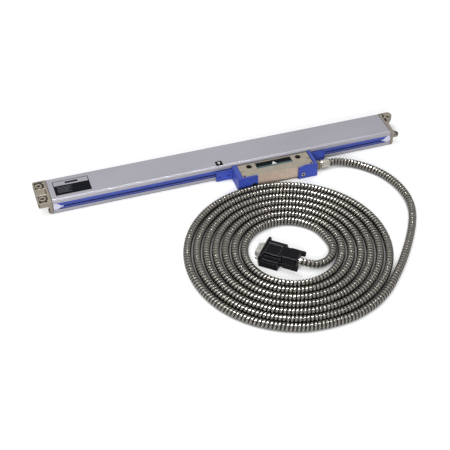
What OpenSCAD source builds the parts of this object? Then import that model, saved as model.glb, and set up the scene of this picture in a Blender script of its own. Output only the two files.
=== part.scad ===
// Sealed linear glass scale: an aluminium housing that holds a graduated glass
// scale, a reading head that slides along it, two alignment brackets and an
// armoured cable that ends in a nine-pin plug.
// X runs along the scale, +Y away from the sealing lips, Z up. Millimetres.

/* [Range] */
// Length that the scale measures
measuring_range = 300; // [200:10:500]
// Length of the housing beyond the measuring range
housing_extra = 110; // [100:5:150]
// Travel of the head beyond each end of the measuring range
overtravel = 3; // [0:0.5:4]
// Distance of the head from the middle of the scale
head_rest = 53; // [30:1:70]

/* [Housing] */
// Depth of the housing, front to back
housing_depth = 40; // [36:1:46]
// Height of the housing
housing_height = 18; // [17:0.5:20]
// Thickness of the housing's walls
wall = 1.8; // [1.5:0.1:2.2]
// Height of the front opening that the lips close
slot_height = 9.4; // [8.6:0.1:9.8]
// Depth of the front rails that hold the lips
rail_depth = 6.2; // [5.8:0.1:6.8]
// Radius of the housing's long edges
edge_radius = 1.6; // [0.8:0.1:2]
// Radius of the tapped holes at the housing's ends
port_radius = 1.1; // [0.9:0.1:1.3]
// Wall around each tapped hole in the back corners
port_wall = 1.2; // [1:0.1:1.5]

/* [Lips] */
// Thickness of each sealing lip
lip_thickness = 1.1; // [0.8:0.1:1.3]
// Distance that the lips lean out from root to tip
lip_lean = 1.8; // [1.4:0.1:2]
// Gap between the two lips
lip_gap = 1.5; // [1.4:0.1:2]
// Radius of the bead that holds each lip in its groove
lip_bead = 0.75; // [0.6:0.05:0.85]
// Length that each end of a lip tapers over
lip_end_taper = 6; // [3:0.5:8]

/* [Glass] */
// Width of the glass scale
glass_width = 20.5; // [18:0.5:22]
// Thickness of the glass scale
glass_thickness = 2.5; // [2:0.1:3]
// Length of the glass beyond the carriage at each end of its travel
glass_extra = 4; // [2:0.5:8]
// Diameter of the rubber cord that clamps the glass
clamp_cord_diameter = 1.4; // [1.2:0.1:1.8]

/* [End caps] */
// Reach of each end cap beyond the housing
cap_reach = 16; // [15:0.5:20]
// Thickness of the cap's upright wall
cap_wall = 3; // [2.5:0.1:3.5]
// Thickness of the gasket behind each cap
gasket_thickness = 0.8; // [0.5:0.1:1]
// Thickness of the cap's mounting plate
plate_thickness = 6.8; // [6:0.1:7.5]
// Width of the rim around the plate's pocket
rim_width = 1.5; // [1.2:0.1:2]
// Depth of the pocket in the mounting plate
pocket_depth = 4.2; // [3:0.1:4.6]
// Radius of the bosses around the mounting holes
boss_radius = 4.1; // [3.6:0.1:4.6]
// Radius of the mounting holes
cap_hole_radius = 2.25; // [2:0.05:2.6]
// Depth of the notch in the right cap's end
notch_depth = 10; // [8:0.5:10.5]

/* [Reading head] */
// Length of the reading head
head_length = 86; // [82:1:90]
// Depth of the reading head
head_depth = 23; // [22:0.5:25]
// Height of the reading head
head_height = 16; // [15.5:0.1:16.4]
// Running gap between the head and the housing
head_gap = 2; // [1.8:0.1:2.4]
// Height of the head above the ground
head_lift = 0.5; // [0.3:0.1:0.8]
// Wall of the head's casting
head_wall = 2.4; // [2:0.1:2.8]
// Distance between the head's two mounting holes
head_hole_spacing = 60; // [58:1:62]
// Radius of the head's mounting holes
head_hole_radius = 2.1; // [1.8:0.1:2.3]
// Radius of the counterbores over the mounting holes
counterbore_radius = 3.3; // [3:0.1:3.6]
// Depth of those counterbores
counterbore_depth = 4.5; // [3.5:0.1:5]
// Length of the window label on the head
label_length = 43; // [40:1:45]
// Width of the window label on the head
label_width = 10; // [9:0.5:10.5]
// Thickness of the plate under the head
cover_thickness = 1.5; // [1.2:0.1:1.8]

/* [Carriage] */
// Length of the scanning carriage
carriage_length = 60; // [56:1:64]
// Radius of the rollers that run on the glass
roller_radius = 2.5; // [2.2:0.1:2.6]
// Width of those rollers
roller_width = 2; // [1.6:0.1:2.1]
// Radius of the pins that carry the rollers
roller_pin_radius = 0.75; // [0.6:0.05:0.9]
// Distance between the rollers, along the scale
roller_spacing = 44; // [40:1:46]
// Thickness of the blade between the lips
blade_thickness = 0.8; // [0.6:0.05:0.9]
// Length of that blade
blade_length = 36; // [30:1:40]

/* [Brackets] */
// Thickness of the bracket plates in front of the head
bracket_plate = 3; // [2.6:0.1:3.4]
// Thickness of the left bracket's end wall
left_wall = 6; // [4:0.5:7]
// Thickness of the right bracket's end wall
right_wall = 4; // [3.5:0.5:6]
// Length of the arms that lie along the lips
arm_length = 19; // [16:1:22]
// Thickness of those arms
arm_thickness = 2.2; // [1.8:0.1:2.6]
// Length of each bracket's plate in front of the head
bracket_reach = 19; // [17:0.5:22]
// Radius of the bracket screws' heads
bracket_screw_head = 2.5; // [2.2:0.1:2.8]

/* [Cable] */
// Outer diameter of the armoured cable
cable_diameter = 8.8; // [8:0.1:9.4]
// Outer diameter of the gland
gland_diameter = 10.6; // [10:0.1:11.2]
// Length of the gland outside the bracket
gland_length = 18; // [17:0.5:19]

/* [Plug] */
// Angle of the plug on the ground
plug_angle = 139; // [137:0.5:141]
// Distance between the plug's two jackscrews
jackscrew_spacing = 25; // [24.8:0.1:25.2]
// Width of the plug's hood
hood_width = 32; // [31:0.1:33]
// Thickness of the plug's hood
hood_thickness = 15.6; // [15:0.1:16]
// Length of the hood's wide front part
hood_front = 22; // [20:0.5:24]
// Length of the whole hood
hood_length = 40; // [38:0.5:42]
// Width of the hood between the thumbscrews
hood_neck = 16; // [14:0.5:17]
// Wall of the hood's two shells
hood_wall = 1.6; // [1.4:0.1:2]

/* [Hidden] */
$fn = 48;
eps = 0.01;          // overlap of cuts past a face
slack = 0.05;        // clearance of a fit between two pieces
gap = 0.3;           // clearance between pieces that move past each other

// Housing
housing_length = measuring_range + housing_extra;
half_housing = housing_length / 2;
back_y = 34;
front_y = back_y - housing_depth;
slot_z = housing_height / 2;                     // middle of the lips' opening
slot_low = slot_z - slot_height / 2;
slot_high = slot_z + slot_height / 2;
groove_slack = 0.05;
bead_y = front_y + 1.5;                          // axis of the lip beads
bead_inset = 1.15;                               // depth of the bead's axis in the rail
port_y = front_y + rail_depth - port_radius - 0.9;
port_back_y = back_y - wall - port_radius - 0.2;
port_low_z = slot_low / 2 + 0.2;
port_high_z = housing_height - port_low_z;
line_inset = 2.4;                                // fine line along the top's front edge
line_width = 0.6;
line_depth = 0.4;

// Glass and its seat
glass_z = slot_z + 0.5;                          // underside of the glass
glass_back = back_y - wall - 0.5;
glass_front = glass_back - glass_width;
travel = measuring_range / 2 + overtravel;        // from the middle of the scale to each stop
glass_length = 2 * (travel + glass_extra) + carriage_length;
shelf_depth = 6;
shelf_thickness = 1.5;
clamp_y = back_y - wall - 3.8;

// End caps
cap_outer = half_housing + cap_reach;
cap_wall_in = half_housing + gasket_thickness;
cap_wall_out = cap_wall_in + cap_wall;
plate_top = housing_height - 0.2;
plate_low = plate_top - plate_thickness;
cap_hole_x = half_housing + 10;
cap_back_hole_y = back_y - 8.5;
cap_front_hole_y = front_y + 8.5;
ear_radius = 4.5;
lug_thickness = 3;                               // low lug at the right cap's front corner
lug_top = 12.6;
lug_x = cap_wall_out + 3.7;
lug_y = front_y + ear_radius;
cap_screw_head = 2.2;
cap_screw_head_height = 1.4;
cap_screw_length = 9;

// Labels on the housing
nameplate_size = [41, 24.7];
nameplate_inset = 5.7;                           // from the housing's left end
label_sheet = 0.3;
reference_size = 8;
reference_x = -8.7;

// Reading head
head_back = front_y - head_gap;
head_front = head_back - head_depth;
head_left = head_rest - head_length / 2;
head_right = head_rest + head_length / 2;
head_top = head_lift + head_height;
head_hole_y = head_back - 5.5;
head_corner = 1;
label_y = head_back - 1.5 - label_width / 2;
label_recess = 0.8;
label_margin = 0.3;
head_cavity_roof = head_top - counterbore_depth - 1.2;
hole_wall = 2.2;                                 // metal around each mounting hole
grub_radius = 1.1;
grub_inset = 2.4;
grub_depth = 4;
board_thickness = 1.2;
cover_screw_inset = 5.2;                         // from each mounting hole, towards the middle

// Inside the reading head
head_holes = [head_rest - head_hole_spacing / 2, head_rest + head_hole_spacing / 2];
cover_top = head_lift + cover_thickness;
cavity_back = head_back - head_wall;
cavity_front = head_front + head_wall;
cover_screw_boss = 2.4;
cover_screw_radius = 1;
cover_screw_head = 1.8;
cover_screw_length = 6;
blade_screw_x = blade_length / 3;
blade_screw_y = cavity_back - 1.6;
blade_screw_radius = 0.9;
blade_screw_head = 1.6;
board_size = [head_hole_spacing - 16, 12];
board_stand = 2.4;
gland_thread = 2.9;
nut_flats = 3.5;                                 // half the width across the nut's flats
nut_thickness = 2;
board_y = cavity_front + board_size[1] / 2 + 1;

// Blade and carriage
blade_z = slot_z - blade_thickness / 2;
blade_seat = 5;                                  // depth of the blade in the head
blade_end = front_y + rail_depth + 1.2;
carriage_front = blade_end + 2.2;
carriage_back = back_y - wall - shelf_depth - 1;
carriage_low = wall + 0.9;
under_glass = glass_z - gap;
over_glass = glass_z + glass_thickness + gap;
carriage_top = housing_height - wall - 0.8;
rolling_gap = 0.06;
face_roller_z = glass_z - rolling_gap - roller_radius;
edge_roller_y = glass_front - rolling_gap - roller_radius;
roller_z = glass_z + (glass_thickness - roller_width) / 2;
face_y = [glass_front + 3, glass_front + 3, glass_front + 10];
face_x = [head_rest - roller_spacing / 2, head_rest + roller_spacing / 2, head_rest];
edge_x = [head_rest - roller_spacing / 2, head_rest + roller_spacing / 2];
pocket_slack = 0.5;
web_thickness = edge_roller_y - roller_radius - pocket_slack - carriage_front;
optics_y = glass_front + 3.9;
reticle_size = [12, 8];
reticle_thickness = 0.9;
led_radius = 2.5;
detector_size = [20, 8.6];
detector_thickness = 1;
pin_seat = 1.2;                                  // depth of each roller pin in its seat

// Brackets
plate_front = head_front - bracket_plate;
arm_back = front_y - head_gap * 0.7;
arm_front = arm_back - arm_thickness;
bracket_top = head_top + 1;
bracket_side_gap = 0.3;
left_wall_out = head_left - bracket_side_gap - left_wall;
right_wall_out = head_right + bracket_side_gap + right_wall;
arm_low = 0.4;
arm_top = housing_height * 0.76;
bracket_screw_z = 5.4;
bracket_screw_shank = 1.25;
screw_recess = 1.4;
chamfer = 8;                                     // slope at the right plate's corner

// Gland and cable
gland_y = head_front + 7.2;
gland_z = 6.9;
wire_bore = 1.9;                                 // passage for the wires in the gland and the plug
gland_end = head_right + bracket_side_gap + right_wall + gland_length;
cable_sides = 10;
cable_radius = cable_diameter / 2;
on_ground = cable_radius;                 // height of the cable's axis when it lies down
coil_centre = [24, -148.2];
coil_first = 114;                                // radius of the outermost turn at the front
coil_step = 10.2;                                // radius lost in each turn
coil_drift = coil_step / 4;                      // a spiral's turns lean to one side
coil_out = coil_first - coil_step / 2 + cable_radius;
coil_in = coil_first - coil_step * 6.5 - cable_radius;
// Hand-set points of the cable from the gland to the coil
tail_points = [
    [127, -23.8, 2], [138.5, -27, 0.9], [150.5, -34.5, 0.2],
    [162, -46, 0], [171, -59, 0], [177.5, -75, 0], [180.8, -93, 0],
    [180.3, -112, 0], [175.5, -131, 0], [167, -149, 0], [156, -167, 0],
    [143.5, -185, 0], [130, -202.5, 0], [115.5, -219, 0], [98, -236.3, 0],
    [81.5, -247.8, 0], [63.2, -255.9, 0], [44, -260.7, 0], [24, -262.2, 0],
    [4.3, -260.2, 0], [-14.8, -254.8, 0]
];
// Hand-set points of the cable from the coil to the plug
lead_points = [
    [69, -151, 0], [68.3, -158.5, 0], [65.6, -165.5, 0], [61.5, -171, 0],
    [56, -175.3, 0.1], [49.5, -178, 0.5], [42.5, -178.8, 1.4], [35.2, -177.2, 2.5], [31, -175.2, 3]
];

// Plug
plug_origin = [-5.5, -144.4, hood_thickness / 2];
flange_thickness = 1;
flange_width = jackscrew_spacing + 5.8;
flange_height = 12.5;
shell_depth = 6;
shell_wall = 0.4;
shell_width = 16.9;
shell_height = 8.3;
pin_radius = 0.5;
pin_pitch = 2.77;
pin_row = 1.42;
pin_length = 5.4;
thumb_radius = 2.9;
thumb_grip_length = 21;
thumb_shank = 1.45;
thumb_tip = 5;
cable_ring_length = 3;
cable_ring_spigot = 3.2;
plug_exit = hood_length + cable_ring_length;
screw_y = jackscrew_spacing / 2;
hood_screw_places = [[-17.5, 8.6], [-17.5, -8.6]];
insert_depth = 5;
plug_axis = [cos(plug_angle), sin(plug_angle), 0];

function direction(a, b) = (b - a) / norm(b - a);
function tangent(p, i) = direction(p[max(i - 1, 0)], p[min(i + 1, len(p) - 1)]);
function sideways(t) = let (s = cross(t, [0, 0, 1])) s / norm(s);
function ring(p, t, r, n) =
    let (s = sideways(t), u = cross(s, t))
    [for (k = [0 : n - 1]) p + r * (cos(360 * k / n) * s + sin(360 * k / n) * u)];

// A round cable swept along a list of points, closed at both ends. Its first and
// last rings face the given directions.
module cable(points, radius, sides, leaving, arriving) {
    count = len(points);
    vertices = [for (i = [0 : count - 1])
        let (t = i == 0 ? leaving : i == count - 1 ? arriving : tangent(points, i))
        each ring(points[i], t, radius, sides)];
    skin = [for (i = [0 : count - 2], k = [0 : sides - 1])
        let (n = (k + 1) % sides)
        [i * sides + k, i * sides + n, (i + 1) * sides + n, (i + 1) * sides + k]];
    first = [[for (k = [sides - 1 : -1 : 0]) k]];
    last = [[for (k = [0 : sides - 1]) (count - 1) * sides + k]];
    polyhedron(vertices, concat(skin, first, last));
}

// Draws a section in the Y-Z plane along X, from x0 over the given length.
module along_x(x0, length) {
    translate([x0, 0, 0])
        rotate([90, 0, 90])
            linear_extrude(length) children();
}

module rod_x(x0, length, y, z, radius) {
    translate([x0, y, z]) rotate([0, 90, 0]) cylinder(h = length, r = radius);
}

module rod_y(y0, length, x, z, radius) {
    translate([x, y0, z]) rotate([-90, 0, 0]) cylinder(h = length, r = radius);
}

module block(x0, x1, y0, y1, z0, z1) {
    translate([x0, y0, z0]) cube([x1 - x0, y1 - y0, z1 - z0]);
}

// Rectangle with round corners, as straight bars and circles.
module round_rect(x0, x1, y0, y1, r) {
    translate([x0 + r, y0]) square([x1 - x0 - 2 * r, y1 - y0]);
    translate([x0, y0 + r]) square([x1 - x0, y1 - y0 - 2 * r]);
    for (x = [x0 + r, x1 - r], y = [y0 + r, y1 - r])
        translate([x, y]) circle(r);
}

// ---- Scale ----------------------------------------------------------------

function port_places() = [
    [port_y, port_low_z], [port_y, port_high_z],
    [port_back_y, wall + port_radius + 0.2], [port_back_y, housing_height - wall - port_radius - 0.2]
];

module lip_groove(side) {
    z = side > 0 ? slot_high + bead_inset : slot_low - bead_inset;
    translate([bead_y, z]) circle(lip_bead + groove_slack);
    neck = lip_thickness / 2 + groove_slack;
    translate([bead_y - neck, side > 0 ? slot_high - eps : z])
        square([2 * neck, bead_inset + eps]);
}

module housing_section() {
    difference() {
        union() {
            difference() {
                round_rect(front_y, back_y, 0, housing_height, edge_radius);
                translate([front_y + wall, wall])
                    square([housing_depth - 2 * wall, housing_height - 2 * wall]);
            }
            for (z = [[wall / 2, slot_low], [slot_high, housing_height - wall / 2]])
                translate([front_y + wall / 2, z[0]]) square([rail_depth - wall / 2, z[1] - z[0]]);
            for (p = port_places()) if (p[0] > 0) translate(p) circle(port_radius + port_wall);
            translate([back_y - wall - shelf_depth, glass_z - shelf_thickness])
                square([shelf_depth + wall / 2, shelf_thickness]);
            translate([clamp_y - 1.6, glass_z + glass_thickness + clamp_cord_diameter])
                square([back_y - wall / 2 - clamp_y + 1.6, shelf_thickness]);
        }
        translate([front_y - eps, slot_low]) square([rail_depth + 2 * eps, slot_height]);
        lip_groove(1);
        lip_groove(-1);
        for (p = port_places()) translate(p) circle(port_radius);
        translate([front_y + line_inset, housing_height - line_depth])
            square([line_width, line_depth + eps]);
    }
}

module scale_housing() {
    color([0.71, 0.70, 0.74]) along_x(-half_housing, housing_length) housing_section();
}

// The upper lip without its bead.
module lip_section() {
    tip_z = slot_z + lip_gap / 2;
    half = lip_thickness / 2;
    polygon([
        [bead_y + half, slot_high + bead_inset], [bead_y + half, slot_high],
        [bead_y + half - lip_lean, tip_z], [bead_y - half - lip_lean + 0.5, tip_z],
        [bead_y - half - lip_lean, tip_z + 0.4],
        [bead_y - half, slot_high], [bead_y - half, slot_high + bead_inset]
    ]);
}

// The lip's two ends are cut on a slope, so that the pair spreads into a V there.
module upper_lip() {
    reach = half_housing - 3.5;
    rod_x(-reach, 2 * reach, bead_y, slot_high + bead_inset, lip_bead);
    difference() {
        along_x(-reach, 2 * reach) lip_section();
        for (s = [-1, 1])
            translate([s * reach, front_y - 4, 0]) rotate([-90, 0, 0])
                linear_extrude(8) polygon([
                    [s * eps, -slot_high], [s * eps, 0], [-s * lip_end_taper, 0],
                    [-s * lip_end_taper, -slot_z - lip_gap / 2 + eps]
                ]);
    }
}

module upper_lip_seal() {
    color([0.20, 0.28, 0.62]) upper_lip();
}

module lower_lip_seal() {
    color([0.17, 0.22, 0.48])
        translate([0, 0, 2 * slot_z]) mirror([0, 0, 1]) upper_lip();
}

module glass_scale() {
    color([0.75, 0.88, 0.86, 0.6])
        block(-glass_length / 2, glass_length / 2, glass_front, glass_back,
              glass_z, glass_z + glass_thickness);
}

module glass_clamp_cord() {
    color([0.08, 0.08, 0.08])
        rod_x(-glass_length / 2, glass_length, clamp_y,
              glass_z + glass_thickness + clamp_cord_diameter / 2, clamp_cord_diameter / 2);
}

// ---- End caps, drawn for the right end --------------------------------------

module end_gasket() {
    along_x(half_housing, gasket_thickness)
        difference() {
            round_rect(front_y, back_y, 0, housing_height, edge_radius);
            for (p = port_places()) translate(p) circle(port_radius + slack);
        }
}

module plain_plan() {
    translate([cap_wall_in, front_y])
        square([cap_outer - cap_wall_in - 2, housing_depth]);
    round_rect(cap_wall_out, cap_outer, front_y, back_y, 2);
}

module notched_plan() {
    vertex_y = (front_y + back_y) / 2 + 1.6;
    polygon([
        [cap_wall_in, front_y], [cap_wall_out, front_y], [cap_wall_out + 0.8, front_y + 1.5],
        [cap_outer - notch_depth, vertex_y], [cap_outer, back_y - ear_radius * 1.6],
        [cap_outer, back_y - ear_radius], [cap_outer - ear_radius, back_y], [cap_wall_in, back_y]
    ]);
    translate([cap_outer - ear_radius, back_y - ear_radius]) circle(ear_radius);
}

// Mounting holes of a cap; the notched cap's front hole is in its low lug.
function cap_holes(notched) = [
    [cap_hole_x, cap_back_hole_y],
    notched ? [lug_x, lug_y] : [cap_hole_x, cap_front_hole_y]
];

module end_cap(notched) {
    difference() {
        union() {
            along_x(cap_wall_in, cap_wall)
                round_rect(front_y, back_y, 0, plate_top, edge_radius);
            translate([0, 0, plate_low]) linear_extrude(plate_thickness)
                if (notched) notched_plan(); else plain_plan();
            if (notched) {
                block(cap_wall_out - eps, lug_x, lug_y - ear_radius, lug_y + ear_radius,
                      lug_top - lug_thickness, lug_top);
                translate([lug_x, lug_y, lug_top - lug_thickness])
                    cylinder(h = lug_thickness, r = ear_radius);
            }
        }
        cap_pocket(notched);
        for (p = cap_holes(notched))
            translate([p[0], p[1], lug_top - lug_thickness - 1])
                cylinder(h = housing_height, r = cap_hole_radius);
        for (p = port_places())
            rod_x(cap_wall_in - 1, cap_wall + 2, p[0], p[1], port_radius + 0.2);
        for (y = [port_y, port_back_y])
            rod_x(cap_wall_out, cap_screw_head_height + gap, y,
                  y == port_y ? port_high_z : housing_height - wall - port_radius - 0.2,
                  cap_screw_head + gap);
    }
}

// The plate's pockets, open at the top, around the bosses of the mounting holes.
module cap_pocket(notched) {
    reach = notched ? cap_outer - notch_depth - rim_width : cap_outer - rim_width;
    start = notched ? (front_y + back_y) / 2 + 1.6 : front_y + rim_width;
    translate([0, 0, plate_top - pocket_depth]) linear_extrude(pocket_depth + 1)
        difference() {
            translate([cap_wall_out, start])
                square([reach - cap_wall_out, back_y - rim_width - start]);
            for (p = cap_holes(notched)) translate(p) circle(boss_radius);
            for (y = [0.36, 0.64])
                translate([cap_wall_out - 1, front_y + housing_depth * y - rim_width / 2])
                    square([cap_reach, rim_width]);
        }
}

module cap_screws() {
    for (p = port_places()) {
        rod_x(cap_wall_out - cap_screw_length, cap_screw_length + eps, p[0], p[1], port_radius - slack);
        difference() {
            rod_x(cap_wall_out, cap_screw_head_height, p[0], p[1], cap_screw_head);
            translate([cap_wall_out + cap_screw_head_height - 0.8, p[0], p[1]])
                for (a = [0, 90]) rotate([a, 0, 0])
                    translate([0, -1.5, -0.25]) cube([1, 3, 0.5]);
        }
    }
}

module left_end_gasket() { color([0.1, 0.1, 0.1]) mirror([1, 0, 0]) end_gasket(); }
module right_end_gasket() { color([0.1, 0.1, 0.1]) end_gasket(); }
module left_end_cap() { color([0.66, 0.61, 0.54]) mirror([1, 0, 0]) end_cap(false); }
module right_end_cap() { color([0.66, 0.61, 0.54]) end_cap(true); }
module left_cap_screws() { color([0.5, 0.5, 0.48]) mirror([1, 0, 0]) cap_screws(); }
module right_cap_screws() { color([0.5, 0.5, 0.48]) cap_screws(); }

module nameplate() {
    x0 = -half_housing + nameplate_inset;
    y0 = front_y + 8;
    color([0.12, 0.12, 0.13])
        block(x0, x0 + nameplate_size[0], y0, y0 + nameplate_size[1],
              housing_height, housing_height + label_sheet);
}

module reference_label() {
    y0 = front_y + line_inset + line_width + 0.2;
    color([0.08, 0.08, 0.08])
        block(reference_x - reference_size / 2, reference_x + reference_size / 2,
              y0, y0 + reference_size, housing_height, housing_height + label_sheet);
}

// ---- Reading head -----------------------------------------------------------

function cover_screw_places() = [
    for (x = [head_holes[0] + cover_screw_inset, head_holes[1] - cover_screw_inset],
         y = [cavity_front + cover_screw_boss / 2, cavity_back - cover_screw_boss / 2]) [x, y]
];

module head_plan() {
    round_rect(head_left, head_right, head_front, head_back, head_corner);
}

module head_cavity_plan() {
    difference() {
        translate([head_left + head_wall, cavity_front])
            square([head_length - 2 * head_wall, cavity_back - cavity_front]);
        for (x = head_holes) translate([x, head_hole_y]) circle(head_hole_radius + hole_wall);
        for (p = cover_screw_places()) translate(p) circle(cover_screw_boss);
    }
}

module head_housing() {
    color([0.69, 0.63, 0.55]) difference() {
        union() {
            difference() {
                translate([0, 0, cover_top]) linear_extrude(head_top - cover_top) head_plan();
                translate([0, 0, cover_top - eps])
                    linear_extrude(head_cavity_roof - cover_top) head_cavity_plan();
            }
            block(head_rest - blade_length / 2 - 1, head_rest + blade_length / 2 + 1,
                  cavity_back - 3.2, cavity_back + eps,
                  blade_z + blade_thickness, head_cavity_roof + eps);
            for (x = head_holes)
                rod_y(cavity_front - eps, 3, x, bracket_screw_z, bracket_screw_shank + 1.4);
        }
        for (x = head_holes) {
            translate([x, head_hole_y, 0]) cylinder(h = head_top + 1, r = head_hole_radius);
            translate([x, head_hole_y, head_top - counterbore_depth])
                cylinder(h = counterbore_depth + 1, r = counterbore_radius);
            rod_y(head_front - 1, 6, x, bracket_screw_z, bracket_screw_shank + slack);
        }
        block(head_rest - label_length / 2 - label_margin, head_rest + label_length / 2 + label_margin,
              label_y - label_width / 2 - label_margin, label_y + label_width / 2 + label_margin,
              head_top - label_recess, head_top + 1);
        for (p = cover_screw_places())
            translate([p[0], p[1], 0]) cylinder(h = cover_screw_length + 1, r = cover_screw_radius + slack);
        for (x = [head_left + grub_inset, head_right - grub_inset])
            translate([x, head_front + grub_inset, head_top - grub_depth])
                cylinder(h = grub_depth + 1, r = grub_radius + slack);
        for (x = [head_left - 1, head_right - 4])
            block(x, x + 5, head_back - 12, head_back - 11.2, head_top - 0.5, head_top + 1);
        block(head_rest - blade_length / 2 - slack, head_rest + blade_length / 2 + slack,
              cavity_back - eps, head_back + 1, blade_z - slack, blade_z + blade_thickness + slack);
        for (x = [-blade_screw_x, blade_screw_x])
            translate([head_rest + x, blade_screw_y, blade_z])
                cylinder(h = 3.2, r = blade_screw_radius + slack);
        rod_x(head_right - head_wall - 1, head_wall + 2, gland_y, gland_z, gland_thread + slack);
    }
}

module head_bottom_cover() {
    color([0.60, 0.55, 0.48]) difference() {
        union() {
            translate([0, 0, head_lift]) linear_extrude(cover_thickness) head_plan();
            for (x = [-1, 1], y = [-1, 1])
                translate([head_rest + x * (board_size[0] / 2 - 3),
                           board_y + y * (board_size[1] / 2 - 2.2), cover_top - eps])
                    cylinder(h = board_stand + eps, r = 1.5);
        }
        for (x = head_holes) translate([x, head_hole_y, 0]) cylinder(h = 5, r = head_hole_radius);
        for (p = cover_screw_places()) translate([p[0], p[1], head_lift]) {
            translate([0, 0, -1]) cylinder(h = 1.9, r = cover_screw_head + slack);
            cylinder(h = 3, r = cover_screw_radius + slack);
        }
    }
}

module cover_screws() {
    color([0.35, 0.35, 0.35]) for (p = cover_screw_places()) translate([p[0], p[1], head_lift]) {
        cylinder(h = 0.9, r = cover_screw_head);
        cylinder(h = cover_screw_length - 0.5, r = cover_screw_radius);
    }
}

module window_label() {
    color([0.07, 0.15, 0.18])
        block(head_rest - label_length / 2, head_rest + label_length / 2,
              label_y - label_width / 2, label_y + label_width / 2,
              head_top - label_recess, head_top - label_recess + label_sheet);
}

module index_mark() {
    color([0.9, 0.92, 0.92])
        translate([head_rest, label_y, head_top - label_recess + label_sheet])
            linear_extrude(0.15) polygon([[-3.2, -2.4], [3.2, -2.4], [0, 2.6]]);
}

module head_grub_screws() {
    color([0.15, 0.15, 0.15])
        for (x = [head_left + grub_inset, head_right - grub_inset])
            translate([x, head_front + grub_inset, head_top - grub_depth]) difference() {
                cylinder(h = grub_depth - 0.8, r = grub_radius);
                translate([0, 0, grub_depth - 2]) cylinder(h = 2, r = 0.6, $fn = 6);
            }
}

module signal_board() {
    z = cover_top + board_stand;
    color([0.10, 0.38, 0.22])
        block(head_rest - board_size[0] / 2, head_rest + board_size[0] / 2,
              board_y - board_size[1] / 2, board_y + board_size[1] / 2, z, z + board_thickness);
    color([0.1, 0.1, 0.1]) for (x = [-14, 0, 13])
        block(head_rest + x - 4, head_rest + x + 4, board_y - 3, board_y + 3,
              z + board_thickness, z + board_thickness + 1.6);
}

module head_blade() {
    color([0.62, 0.64, 0.66]) difference() {
        block(head_rest - blade_length / 2, head_rest + blade_length / 2,
              head_back - blade_seat, blade_end, blade_z, blade_z + blade_thickness);
        for (x = [-blade_screw_x, blade_screw_x])
            translate([head_rest + x, blade_screw_y, blade_z - 1])
                cylinder(h = 3, r = blade_screw_radius + slack);
    }
}

module blade_screws() {
    color([0.4, 0.4, 0.42]) for (x = [-blade_screw_x, blade_screw_x])
        translate([head_rest + x, blade_screw_y, blade_z]) {
            translate([0, 0, -1]) cylinder(h = 1, r = blade_screw_head);
            translate([0, 0, -eps]) cylinder(h = 3, r = blade_screw_radius);
        }
}

module coupling_spring() {
    leaf = 0.3;
    color([0.75, 0.72, 0.6]) {
        block(head_rest - 5, head_rest + 5, blade_end - 1.4, carriage_front,
              blade_z + blade_thickness, blade_z + blade_thickness + leaf);
        block(head_rest - 5, head_rest + 5, carriage_front - leaf, carriage_front,
              blade_z + blade_thickness, blade_z + blade_thickness + 3.4);
    }
}

// ---- Scanning carriage --------------------------------------------------------

module face_roller_cut(i) {
    block(face_x[i] - roller_radius - pocket_slack, face_x[i] + roller_radius + pocket_slack,
          face_y[i] - roller_width / 2 - pocket_slack / 2, face_y[i] + roller_width / 2 + pocket_slack / 2,
          face_roller_z - roller_radius - pocket_slack, glass_z);
}

module scanning_carriage() {
    mid = head_rest;
    color([0.30, 0.31, 0.33]) {
        difference() {
            union() {
                block(mid - carriage_length / 2, mid + carriage_length / 2,
                      carriage_front, carriage_back, carriage_low, under_glass);
                block(mid - carriage_length / 2, mid + carriage_length / 2,
                      carriage_front, carriage_front + web_thickness, carriage_low, carriage_top);
                block(mid - 14, mid + 14, carriage_front, optics_y + 4.5, over_glass, carriage_top);
            }
            for (i = [0 : 2]) face_roller_cut(i);
            translate([mid, optics_y, over_glass - 1]) cylinder(h = 6, r = led_radius + slack);
            block(mid - reticle_size[0] / 2 - slack, mid + reticle_size[0] / 2 + slack,
                  optics_y - reticle_size[1] / 2 - slack, optics_y + reticle_size[1] / 2 + slack,
                  under_glass - reticle_thickness, glass_z);
            block(mid - 4.5, mid + 4.5, optics_y - 2.8, optics_y + 2.8, carriage_low, glass_z);
            block(mid - detector_size[0] / 2 - slack, mid + detector_size[0] / 2 + slack,
                  optics_y - detector_size[1] / 2 - slack, optics_y + detector_size[1] / 2 + slack,
                  carriage_low - 1, carriage_low + detector_thickness);
        }
        for (i = [0 : 2])
            rod_y(face_y[i] - roller_width / 2 - pin_seat, roller_width + 2 * pin_seat,
                  face_x[i], face_roller_z, roller_pin_radius);
        for (x = edge_x)
            translate([x, edge_roller_y, under_glass - pin_seat])
                cylinder(h = roller_z + roller_width + 0.1 - under_glass + pin_seat, r = roller_pin_radius);
    }
}

module face_roller(i) {
    color([0.75, 0.76, 0.78]) difference() {
        rod_y(face_y[i] - roller_width / 2, roller_width, face_x[i], face_roller_z, roller_radius);
        rod_y(face_y[i] - roller_width, roller_width * 2, face_x[i], face_roller_z,
              roller_pin_radius + slack);
    }
}

module edge_roller(i) {
    color([0.75, 0.76, 0.78]) translate([edge_x[i], edge_roller_y, roller_z]) difference() {
        cylinder(h = roller_width, r = roller_radius);
        translate([0, 0, -1]) cylinder(h = roller_width + 2, r = roller_pin_radius + slack);
    }
}

module face_roller_a() { face_roller(0); }
module face_roller_b() { face_roller(1); }
module face_roller_c() { face_roller(2); }
module edge_roller_a() { edge_roller(0); }
module edge_roller_b() { edge_roller(1); }

module led_module() {
    color([0.85, 0.83, 0.75]) translate([head_rest, optics_y, over_glass + 0.1]) {
        cylinder(h = carriage_top - over_glass - 0.1, r = led_radius);
        translate([0, 0, carriage_top - over_glass - 0.1]) cylinder(h = 0.4, r = led_radius + 0.7);
    }
}

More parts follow.
